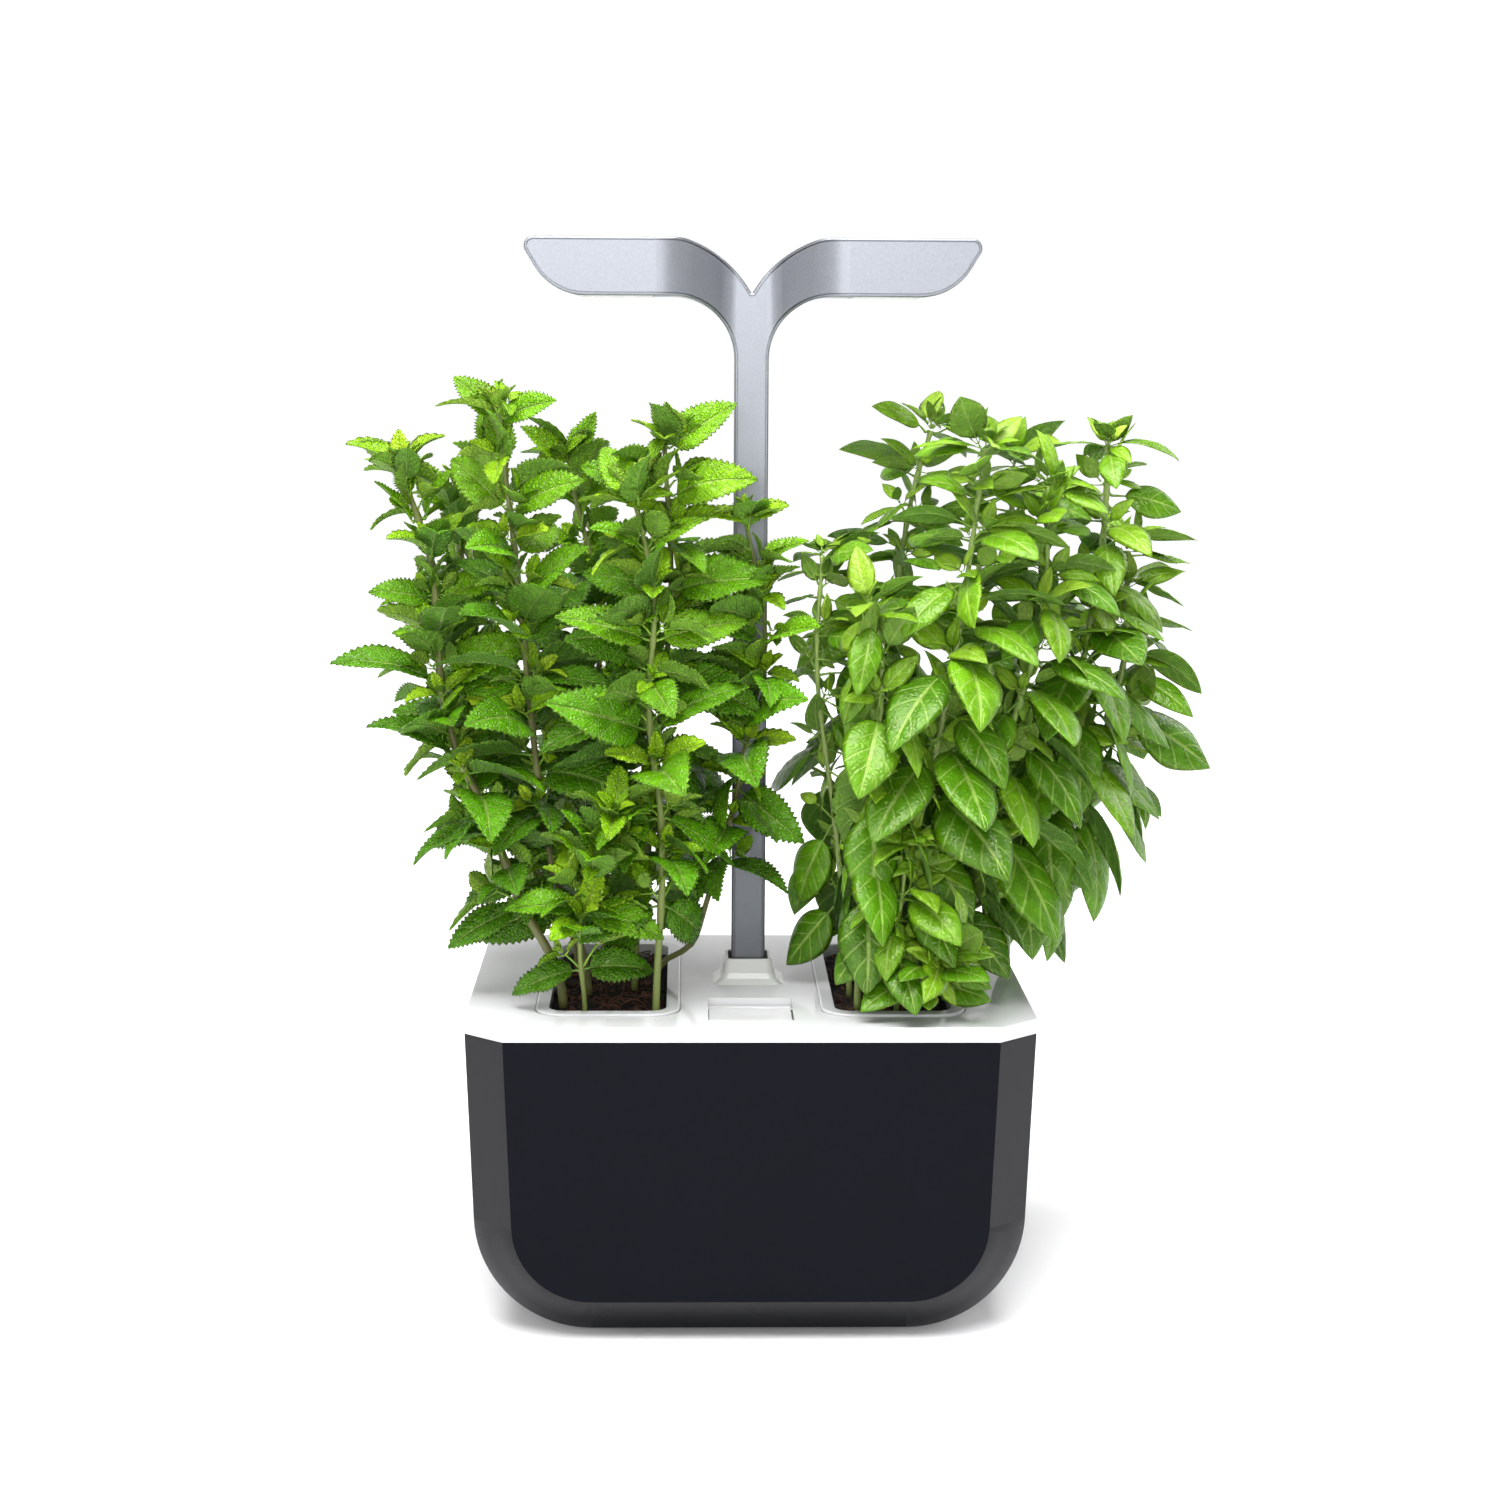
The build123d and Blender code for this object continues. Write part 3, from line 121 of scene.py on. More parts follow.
def soft_light(name, place, aim, width, height, power):
    """A rectangular soft light at a place, turned towards a point."""
    data = bpy.data.lights.new(name, "AREA")
    data.shape = "RECTANGLE"
    data.size, data.size_y, data.energy = width, height, power
    light = bpy.data.objects.new(name, data)
    bpy.context.scene.collection.objects.link(light)
    light.location = place
    light.rotation_euler = (Vector(aim) - Vector(place)).to_track_quat("-Z", "Y").to_euler()


soft_light("overhead", (-0.08, -0.36, 1.32), (0, 0, 0.25), 1.1, 0.9, 38)
soft_light("from_front", (-0.15, -2.3, 0.85), (0, 0, 0.35), 1.3, 0.8, 19)
soft_light("from_left", (-1.2, -0.7, 1.3), (0, 0, 0.25), 1.3, 1.3, 5)
soft_light("from_right", (1.2, 0.9, 1.0), (0, 0, 0.25), 0.9, 0.9, 8)

table_reach = 30.0
table_mesh = bpy.data.meshes.new("table")
table_mesh.from_pydata(
    [
        (x * table_reach, y * table_reach, 0.0)
        for x, y in ((-1, -1), (1, -1), (1, 1), (-1, 1))
    ],
    [],
    [(0, 1, 2, 3)],
)
table = bpy.data.objects.new("table", table_mesh)
bpy.context.scene.collection.objects.link(table)
white_table, table_tree, table_shader = new_material("white_table")
table_shader.inputs["Base Color"].default_value = (0.84, 0.84, 0.85, 1)
table_shader.inputs["Roughness"].default_value = 0.9
table_shader.inputs["Specular IOR Level"].default_value = 0.0
# The table glows as painted light: none close round the garden's foot and more further out, so the
# floor reads white out to the horizon and a painted shadow lies round the foot.
table_shader.inputs["Emission Color"].default_value = (1, 1, 1, 1)
table_distance = node(table_tree, "ShaderNodeVectorMath", operation="LENGTH")
table_tree.links.new(
    node(table_tree, "ShaderNodeTexCoord").outputs["Object"], table_distance.inputs[0]
)
table_glow = node(table_tree, "ShaderNodeMath", operation="ADD")
for socket, near, far, glow in zip(table_glow.inputs, (0.085, 0.15), (0.155, 1.6), (0.29, 0.50)):
    ring = ranged(table_tree, table_distance.outputs["Value"], near, far, 0.0, glow, kind="LINEAR")
    table_tree.links.new(ring, socket)
table_tree.links.new(table_glow.outputs["Value"], table_shader.inputs["Emission Strength"])
table_mesh.materials.append(white_table)

# ---------------------------------------------------------------- tank
# An injection-moulded ABS tank. Its flat front and back are polished black; the bevelled band
# and the sides between them have a softer satin finish.


def linear(red, green, blue):
    """A colour given in display values from 0 to 255, as the shader's linear values."""
    return tuple(
        (c / 255 / 12.92) if c <= 10 else ((c / 255 + 0.055) / 1.055) ** 2.4
        for c in (red, green, blue)
    ) + (1.0,)


def noise_on(tree, **settings):
    """A noise that is fixed to the part, as a value from 0 to 1."""
    noise = node(tree, "ShaderNodeTexNoise", **settings)
    tree.links.new(node(tree, "ShaderNodeTexCoord").outputs["Object"], noise.inputs["Vector"])
    return noise.outputs["Fac"]


def blend(tree, factor, first, second, **settings):
    """A colour between two; each of the three is a plain value or another node's output."""
    made = node(tree, "ShaderNodeMix", data_type="RGBA", **settings)
    for key, value in (("Factor", factor), ("A", first), ("B", second)):
        if isinstance(value, bpy.types.NodeSocket):
            tree.links.new(value, made.inputs[key])
        else:
            made.inputs[key].default_value = value
    return made.outputs["Result"]


def raise_surface(tree, shader, height, strength, distance):
    """Gives a surface fine relief from a height."""
    relief = node(tree, "ShaderNodeBump", Strength=strength, Distance=distance)
    tree.links.new(height, relief.inputs["Height"])
    tree.links.new(relief.outputs["Normal"], shader.inputs["Normal"])


def moulded(name, colour, roughness, specular=0.5, grain=0.0, grain_size=0.0006, shade=0.08,
            metallic=0.0):
    """Moulded or painted finish: slight uneven gloss and tone, and a fine surface grain."""
    material, tree, shader = new_material(name)
    shader.inputs["Specular IOR Level"].default_value = specular
    shader.inputs["Metallic"].default_value = metallic
    cloud = noise_on(tree, Scale=38.0, Detail=4.0)
    darker = tuple(c * (1 - shade) for c in colour[:3]) + (1,)
    tree.links.new(blend(tree, cloud, colour, darker), shader.inputs["Base Color"])
    gloss = ranged(tree, cloud, 0.0, 1.0, roughness * 0.85, roughness * 1.15, kind="LINEAR")
    tree.links.new(gloss, shader.inputs["Roughness"])
    if grain:
        speck = noise_on(tree, Scale=1 / grain_size, Detail=2.0)
        raise_surface(tree, shader, speck, grain, 0.0002)
    return material


def finish(name, *materials):
    """Gives a CAD part its materials in place of the plain one it came with."""
    mesh = nodes[name].data
    mesh.materials.clear()
    for material in materials:
        mesh.materials.append(material)
    return nodes[name]


def soften(part, width):
    """Rounds a part's hard edges by a narrow bevel."""
    weld = part.modifiers.new("seams", "WELD")
    weld.merge_threshold = 5e-6
    bevel = part.modifiers.new("edges", "BEVEL")
    bevel.width = width
    bevel.segments = 2
    bevel.limit_method = "ANGLE"
    bevel.angle_limit = math.radians(35)
    bevel.harden_normals = True


tank_black = moulded("tank_black", linear(10, 11, 19), 0.09, specular=0.06, shade=0.2)
tank_band = moulded("tank_band", linear(14, 15, 18), 0.26, specular=0.22, grain=0.05, shade=0.1)
tank = finish("tank_shell", tank_band, tank_black)
for face in tank.data.polygons:
    # the faces that look straight ahead or back
    face.material_index = 1 if abs(face.normal.y) > 0.99 else 0
soften(tank, 0.0005)

# ---------------------------------------------------------------- foot ring
# A square ring of black rubber pressed into a groove under the tank; the garden stands on it.

finish("foot_ring", moulded("foot_rubber", linear(30, 30, 30), 0.75, grain=0.3))

# ---------------------------------------------------------------- cover plate and filler flap
# Both are injection-moulded in glossy white ABS. The plate lies on the tank's rim and the flap
# turns on a steel pin in the plate's front recess.

plate_white = moulded("plate_white", linear(205, 205, 207), 0.07, shade=0.015)
soften(finish("cover_plate", plate_white), 0.0005)
flap_white = moulded("flap_white", linear(208, 208, 209), 0.09, shade=0.015)
soften(finish("filler_flap", flap_white), 0.0003)
steel = moulded("screw_steel", linear(165, 165, 168), 0.3, metallic=1.0, grain=0.1)
for name in ("flap_pin", "sleeve_screws", "lid_screws"):
    finish(name, steel)

# ---------------------------------------------------------------- mast socket, gasket and sleeve
# The socket is a collar moulded in greyish white. A rubber gasket in its mouth holds the mast,
# and the sleeve under it is a closed tube screwed to the cover.

finish("mast_socket", moulded("socket_grey", linear(202, 203, 200), 0.14, shade=0.03))
finish("mast_gasket", moulded("gasket_rubber", linear(24, 24, 26), 0.7, grain=0.2))
inner_plastic = moulded("inner_plastic", linear(176, 176, 173), 0.45, grain=0.08)
for name in ("mast_sleeve", "mast_foot", "float_guide"):
    finish(name, inner_plastic)

# ---------------------------------------------------------------- float
# A disc of closed-cell foam with a red moulded rod, which rises in its guide under the filler.

foam = moulded("float_foam", linear(190, 188, 176), 0.85, grain=0.5, grain_size=0.001)
finish("level_float", foam)
finish("float_rod", moulded("float_red", linear(190, 40, 34), 0.3))

# ---------------------------------------------------------------- electronics
# A black box under the back of the cover holds the timer board. The inlet and the push button
# show in its back wall, and a block of spring contacts reaches the mast.

box_black = moulded("box_black", linear(26, 26, 29), 0.42, grain=0.15)
for name in ("driver_housing", "driver_lid"):
    finish(name, box_black)
finish("driver_board", moulded("board_green", linear(26, 92, 52), 0.4, shade=0.2))
inlet_black = moulded("inlet_black", linear(14, 14, 15), 0.35)
for name in ("power_inlet", "contact_block"):
    finish(name, inlet_black)
finish("mode_button", moulded("button_grey", linear(120, 122, 126), 0.35, grain=0.1))
finish("contact_strip", moulded("contact_brass", linear(206, 178, 110), 0.25, metallic=1.0))

# ---------------------------------------------------------------- baskets and wicks
# Each basket is a thin-walled glossy white moulding whose flange lies in a shallow seat of the
# plate. A strip of white polyester felt hangs through its floor into the water.

pot_white = moulded("pot_white", linear(196, 196, 198), 0.10, shade=0.02)
felt = moulded("wick_felt", linear(182, 180, 170), 0.95, grain=0.8, grain_size=0.0012)
for side in ("left", "right"):
    soften(finish(side + "_basket", pot_white), 0.0004)
    finish(side + "_wick", felt)

# ---------------------------------------------------------------- lamp
# A housing of wings and square mast with a fitted front face, both lacquered in fine metallic
# silver. The light windows are frosted plastic over white boards with yellow chips.


def silver_lacquer(name):
    """Metallic lacquer with fine flakes, with painted shade darkening it towards the foot of the
    mast.
    """
    material, tree, shader = new_material(name)
    shader.inputs["Metallic"].default_value = 0.9
    flake = noise_on(tree, Scale=1700.0, Detail=3.0, Roughness=0.7)
    silver = blend(tree, flake, linear(110, 112, 118), linear(154, 157, 164))
    level = node(tree, "ShaderNodeSeparateXYZ")
    tree.links.new(node(tree, "ShaderNodeTexCoord").outputs["Object"], level.inputs["Vector"])
    # painted shade: the silver is mixed towards dark grey lower down the mast
    depth = ranged(tree, level.outputs["Z"], 0.13, 0.44, to_low=0.70, to_high=0.0)
    tone_with_painted_shade = blend(tree, depth, silver, linear(62, 64, 65))
    tree.links.new(tone_with_painted_shade, shader.inputs["Base Color"])
    gloss = ranged(tree, flake, 0.0, 1.0, 0.32, 0.46, kind="LINEAR")
    tree.links.new(gloss, shader.inputs["Roughness"])
    raise_surface(tree, shader, flake, 0.10, 0.0002)
    return material


lamp_silver = silver_lacquer("lamp_silver")
finish("lamp_shell", lamp_silver)
finish("lamp_cover", lamp_silver)
diffuser = moulded("diffuser_frosted", linear(240, 240, 240), 0.6, grain=0.2)
for side in ("left", "right"):
    finish(side + "_diffuser", diffuser)
    finish(side + "_light_board", moulded(side + "_board_white", linear(225, 226, 228), 0.4))
    finish(side + "_light_chips", moulded(side + "_chip_yellow", linear(236, 214, 110), 0.3))
finish("lamp_wires", moulded("wire_white", linear(214, 214, 210), 0.5))

# ---------------------------------------------------------------- growing blocks
# Each basket holds a pressed block of coir and peat. Its top is loose and uneven, dark brown
# and damp, with reddish fibres and small chips lying on it.


def smooth_noise(points, scale, seed):
    """Soft random relief between -1 and 1 at the given points."""
    draw = np.random.default_rng(seed)
    total = np.zeros(len(points))
    for _ in range(9):
        wave = draw.normal(size=3)
        wave /= np.linalg.norm(wave) * scale * draw.uniform(0.6, 1.6)
        total += np.sin(points @ wave * 2 * np.pi + draw.uniform(0, 2 * np.pi))
    return total / 4.5


def add_piece(name, points, faces, body, smooth=True):
    """A new mesh piece that rides on a body."""
    mesh = bpy.data.meshes.new(name)
    mesh.from_pydata([tuple(p) for p in points], [], faces)
    mesh.validate()
    if smooth:
        mesh.polygons.foreach_set("use_smooth", [True] * len(mesh.polygons))
    piece = bpy.data.objects.new(name, mesh)
    bpy.context.scene.collection.objects.link(piece)
    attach(piece, body)
    return piece


def tube(line, radii, sides, first):
    """Points and faces of a closed round tube along a line; `first` is its first point's index."""
    line = np.asarray(line, float)
    radii = np.broadcast_to(radii, len(line))
    ahead = np.gradient(line, axis=0)
    ahead /= np.linalg.norm(ahead, axis=1)[:, None]
    across = np.cross(ahead[0], (0.3, 0.9, 0.2))
    points, faces = [], []
    for k, (centre, direction) in enumerate(zip(line, ahead)):
        across = across - across @ direction * direction
        across /= np.linalg.norm(across)
        other = np.cross(direction, across)
        for j in range(sides):
            turn = 2 * math.pi * j / sides
            points.append(centre + radii[k] * (math.cos(turn) * across + math.sin(turn) * other))
    for k in range(len(line) - 1):
        for j in range(sides):
            a, b = first + k * sides + j, first + k * sides + (j + 1) % sides
            faces.append((a, b, b + sides, a + sides))
    faces.append(tuple(first + j for j in reversed(range(sides))))
    faces.append(tuple(first + (len(line) - 1) * sides + j for j in range(sides)))
    return points, faces


def soil_finish():
    """Damp coir: dark clumps with paler and redder grains."""
    material, tree, shader = new_material("growing_medium")
    shader.inputs["Roughness"].default_value = 0.9
    clump = noise_on(tree, Scale=260.0, Detail=6.0, Roughness=0.7)
    ramp = node(tree, "ShaderNodeValToRGB")
    ramp.color_ramp.elements[0].position = 0.30
    ramp.color_ramp.elements[0].color = linear(10, 7, 6)
    ramp.color_ramp.elements[1].position = 0.75
    ramp.color_ramp.elements[1].color = linear(64, 42, 31)
    middle = ramp.color_ramp.elements.new(0.52)
    middle.color = linear(25, 16, 13)
    tree.links.new(clump, ramp.inputs["Fac"])
    tree.links.new(ramp.outputs["Color"], shader.inputs["Base Color"])
    raise_surface(tree, shader, clump, 0.9, 0.0012)
    return material


def spot_on(draw, low, high, inset):
    """A random place between two corners, at least `inset` from each side."""
    return [draw.uniform(low[k] + inset, high[k] - inset) for k in (0, 1)]


growing_medium = soil_finish()
soil_rows, soil_columns = 84, 34
block_corner, block_draft, seat_gap = 0.0075, math.radians(3.0), 0.0002
for side in ("left", "right"):
    low, high = (np.array(c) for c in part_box(side + "_growing_block"))
    across = np.linspace(low[0] + seat_gap, high[0] - seat_gap, soil_columns)
    back = np.linspace(low[1] + seat_gap, high[1] - seat_gap, soil_rows)
    top = np.array([(x, y, high[2]) for y in back for x in across])
    relief = 0.0016 * smooth_noise(top, 0.016, 5) + 0.0011 * smooth_noise(top, 0.006, 8)
    relief += 0.0006 * smooth_noise(top, 0.0028, 11)
    top[:, 2] += np.clip(relief, -0.003, 0.0028)
    for point in top:
        # the block's corners are rounded
        inner = np.clip(point[:2], low[:2] + block_corner, high[:2] - block_corner)
        out = point[:2] - inner
        distance = np.linalg.norm(out)
        if distance > block_corner:
            point[:2] = inner + out * block_corner / distance
    points = [tuple(p) for p in top]
    faces = [
        (r * soil_columns + c, r * soil_columns + c + 1,
         (r + 1) * soil_columns + c + 1, (r + 1) * soil_columns + c)
        for r in range(soil_rows - 1)
        for c in range(soil_columns - 1)
    ]
    rim = (
        list(range(soil_columns))
        + [r * soil_columns + soil_columns - 1 for r in range(1, soil_rows)]
        + [(soil_rows - 1) * soil_columns + c for c in reversed(range(soil_columns - 1))]
        + [r * soil_columns for r in reversed(range(1, soil_rows - 1))]
    )
    middle = (low + high) / 2
    draft = (high[2] - low[2]) * math.tan(block_draft)
    shrink = 1 - 2 * draft / (high[:2] - low[:2])
    first = len(points)
    for index in rim:
        foot = [middle[k] + (points[index][k] - middle[k]) * shrink[k] for k in (0, 1)]
        points.append((*foot, low[2]))
    count = len(rim)
    for k in range(count):
        faces.append((rim[(k + 1) % count], rim[k], first + k, first + (k + 1) % count))
    faces.append(tuple(first + k for k in reversed(range(count))))
    block = add_piece(side + "_growing_medium", points, faces, side + "_basket", smooth=False)
    block.data.materials.append(growing_medium)
    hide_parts(side + "_growing_block")

    # loose fibres and chips on the block
    draw = random.Random(21 if side == "left" else 22)
    points, faces = [], []
    for _ in range(150):
        x, y = spot_on(draw, low, high, 0.005)
        turn, bend = draw.uniform(0, 2 * math.pi), draw.uniform(-1.6, 1.6)
        length, lift = draw.uniform(0.004, 0.012), draw.uniform(0.0006, 0.0026)
        line = []
        for k in range(6):
            share = k / 5
            angle = turn + bend * share
            px = x + math.cos(angle) * length * share
            py = y + math.sin(angle) * length * share
            px = min(max(px, low[0] + 0.002), high[0] - 0.002)
            py = min(max(py, low[1] + 0.002), high[1] - 0.002)
            line.append((px, py, high[2] + 0.0008 + lift * math.sin(math.pi * share)))
        made = tube(line, draw.uniform(0.00018, 0.00034), 4, len(points))
        points += made[0]
        faces += made[1]
    for _ in range(170):
        x, y = spot_on(draw, low, high, 0.004)
        size = draw.uniform(0.0008, 0.0022)
        centre = np.array((x, y, high[2] + draw.uniform(0.0, 0.0016)))
        corners = [
            centre + size * np.array([draw.gauss(0, 0.6) for _ in range(3)]) for _ in range(4)
        ]
        first = len(points)
        points += corners
        sides = [corner - corners[0] for corner in corners[1:]]
        volume = np.dot(np.cross(sides[0], sides[1]), sides[2])
        order = (0, 2, 1, 3) if volume > 0 else (0, 1, 2, 3)
        a, b, c, d = (first + k for k in order)
        faces += [(a, b, c), (a, d, b), (b, d, c), (c, d, a)]
    litter = add_piece(side + "_coir_fibres", points, faces, side + "_basket", smooth=False)
    litter.data.materials.append(
        moulded(side + "_coir_fibre", linear(96, 58, 38), 0.8, shade=0.6)
    )

# ---------------------------------------------------------------- stems
# Green shoots, browner and thicker towards the foot, with a slight swelling at each pair of
# leaves. They keep the middle lines of the CAD stems and grow thinner towards the top.


def solids_of(name):
    """The separate solids of a CAD part, each as welded points and triangles."""
    mesh = nodes[name].data
    mesh.calc_loop_triangles()
    place = np.empty(len(mesh.vertices) * 3)
    mesh.vertices.foreach_get("co", place)
    corners = np.empty(len(mesh.loop_triangles) * 3, int)
    mesh.loop_triangles.foreach_get("vertices", corners)
    keys, welded = np.unique(
        np.round(place.reshape(-1, 3) * 1e5).astype(int), axis=0, return_inverse=True
    )
    points, triangles = keys / 1e5, welded.reshape(-1)[corners].reshape(-1, 3)
    label = np.arange(len(points))
    while True:
        lowest = label[triangles].min(axis=1)
        new = label.copy()
        np.minimum.at(new, triangles.ravel(), np.repeat(lowest, 3))
        new = new[new]
        if (new == label).all():
            break
        label = new
    return [
        (points, triangles[label[triangles[:, 0]] == part]) for part in np.unique(label[triangles])
    ]


def middle_line(points, triangles, step=0.004):
    """The middle of a rising stem at each level, and its radius."""
    used = points[np.unique(triangles)]
    line, radii = [], []
    for level in np.arange(used[:, 2].min() + 0.0005, used[:, 2].max() - 0.0005, step):
        crossings = []
        for a, b in ((0, 1), (1, 2), (2, 0)):
            start, end = points[triangles[:, a]], points[triangles[:, b]]
            cut = (start[:, 2] - level) * (end[:, 2] - level) < 0
            share = (level - start[cut, 2]) / (end[cut, 2] - start[cut, 2])
            crossings.append(start[cut] + (end[cut] - start[cut]) * share[:, None])
        ring = np.concatenate(crossings)
        line.append((ring.min(axis=0) + ring.max(axis=0)) / 2)
        radii.append(np.ptp(ring[:, :2], axis=0).min() / 2)
    return np.array(line), float(np.median(radii))


plant_stems = {
    plant: [middle_line(*solid) for solid in solids_of(plant + "_stems")]
    for plant in ("mint", "basil")
}

# ---------------------------------------------------------------- leaves: where they sit
# The CAD leaves are flat plates. Each gives a curved leaf its place, its size and its upper
# side. Younger leaves grow between them: pairs halfway up each joint of a stem, small shoots
# above the leaf stalks and a rosette at each stem's end.

plate_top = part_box("cover_plate")[1].z

# the room that leaves keep free: half widths and depths from the middle, heights over the plate
leaf_gap, grown_leaf_gap = 0.0025, 0.0008
lowest_leaf = 0.0026
mast_half = (0.0073, 0.007)
socket_half, socket_height = (0.0155, 0.013), 0.0139
wing_half, wing_height = (0.0987, 0.025), 0.2242
bend_half_width, bend_height = 0.0336, 0.1979
flap_half_width, flap_height = 0.018, 0.038
flap_front, flap_back = -0.085, -0.0318

# the border between the plants is further right in front than beside and behind the mast
border_front, border_back, border_step, border_gap = 0.034, 0.010, -0.020, 0.0004
other_plant_edge, other_plant_height = 0.028, 0.071


def unit(vector):
    """The vector with a length of one."""
    return vector / np.linalg.norm(vector)


def nearest_stem(plant, point):
    """The stem and the point of its line nearest to a point, and how far up it is, 0 to 1."""
    best = None
    for number, (line, _) in enumerate(plant_stems[plant]):
        distance = np.linalg.norm(line - point, axis=1)
        k = int(distance.argmin())
        if best is None or distance[k] < best[0]:
            best = (distance[k], number, line[k], k / (len(line) - 1))
    return best[1:]


def leaf_plates(plant):
    """The place of each CAD leaf, read from its plate."""
    plates = []
    for points, triangles in solids_of(plant + "_leaves"):
        corners = points[np.unique(triangles)]
        middle = corners.mean(axis=0)
        axes = np.linalg.svd(corners - middle)[2]
        normal = axes[2] * (1 if axes[2] @ (0, -0.75, 1) > 0 else -1)
        ahead = axes[0]
        along = (corners - middle) @ ahead
        sideways = np.abs((corners - middle) @ np.cross(normal, ahead))
        if sideways[along.argmax()] > 0.0003:  # the pointed end is the tip
            ahead, along = -ahead, -along
        base = middle + ahead * along.min()
        stem, foot, rise = nearest_stem(plant, base)
        plates.append(dict(
            base=base, ahead=ahead, normal=normal, length=float(np.ptp(along)),
            width=float(2 * sideways.max()), stem=stem, foot=foot, rise=rise,
        ))
    return plates


plant_plates = {plant: leaf_plates(plant) for plant in ("mint", "basil")}


def in_the_way(points, margin=leaf_gap):
    """Whether any point is in the path of the mast, the wings or the flap, or too low."""
    x, y, height = np.abs(points[:, 0]), points[:, 1], points[:, 2] - plate_top
    deep = np.abs(y)

    def near(half):
        return (x < half[0] + margin) & (deep < half[1] + margin)

    socket = near(socket_half) & (height < socket_height)
    wings = near(wing_half) & (height > wing_height + leaf_gap - margin)
    bends = near(wing_half) & (x < bend_half_width) & (height > bend_height + leaf_gap - margin)
    flap = (x < flap_half_width + margin) & (y < flap_back) & (y > flap_front)
    flap = flap & (height < flap_height)
    low = height < lowest_leaf
    return bool((near(mast_half) | socket | wings | bends | flap | low).any())


def in_own_share(points, side):
    """Whether all points are on the plant's own side of the border between the plants."""
    x, y, height = points[:, 0], points[:, 1], points[:, 2] - plate_top
    border = np.where(y < border_step, border_front, border_back)
    over_other = (side * x < -other_plant_edge) & (height < other_plant_height)
    return bool(((side * (x - border) > border_gap) & ~over_other).all())


# ---------------------------------------------------------------- leaf blades
# A leaf is a thin closed skin: blade, midrib groove and stalk. A mint blade is folded along
# its midrib, quilted between its veins and toothed; a basil blade is smooth and hollow below.


def blade_mesh(rows, columns):
    """Faces of a blade with `rows` steps from stalk to tip and `columns` on each half."""
    wide, under = 2 * columns + 1, 2 * columns - 1
    top_first, under_first = 2, 2 + (rows - 1) * wide

    def top(row, column):
        return 0 if row == 0 else 1 if row == rows else top_first + (row - 1) * wide + column

    def bottom(row, column):
        if row in (0, rows) or column in (0, 2 * columns):
            return top(row, column)
        return under_first + (row - 1) * under + column - 1

    faces, backs = [], []
    for row in range(rows):
        for column in range(2 * columns):
            for skin, heap in ((top, faces), (bottom, backs)):
                ring = [
                    skin(row, column), skin(row + 1, column),
                    skin(row + 1, column + 1), skin(row, column + 1),
                ]
                ring = [v for k, v in enumerate(ring) if v != ring[k - 1]]
                heap.append(tuple(ring if skin is top else reversed(ring)))
    return faces, backs


blade_kinds = {
    # rows and columns of the mesh, shape of the outline, number of side veins and their slant
    "mint": dict(rows=30, columns=6, early=0.50, late=0.95, veins=7, slant=1.5),
    "young_mint": dict(rows=12, columns=3, early=0.55, late=0.90, veins=5, slant=1.2),
    "basil": dict(rows=18, columns=5, early=0.70, late=0.98, veins=5, slant=1.3),
    "young_basil": dict(rows=9, columns=3, early=0.70, late=1.15, veins=4, slant=1.0),
}
blade_meshes = {
    kind: blade_mesh(form["rows"], form["columns"]) for kind, form in blade_kinds.items()
}
leaf_skin = 0.00030


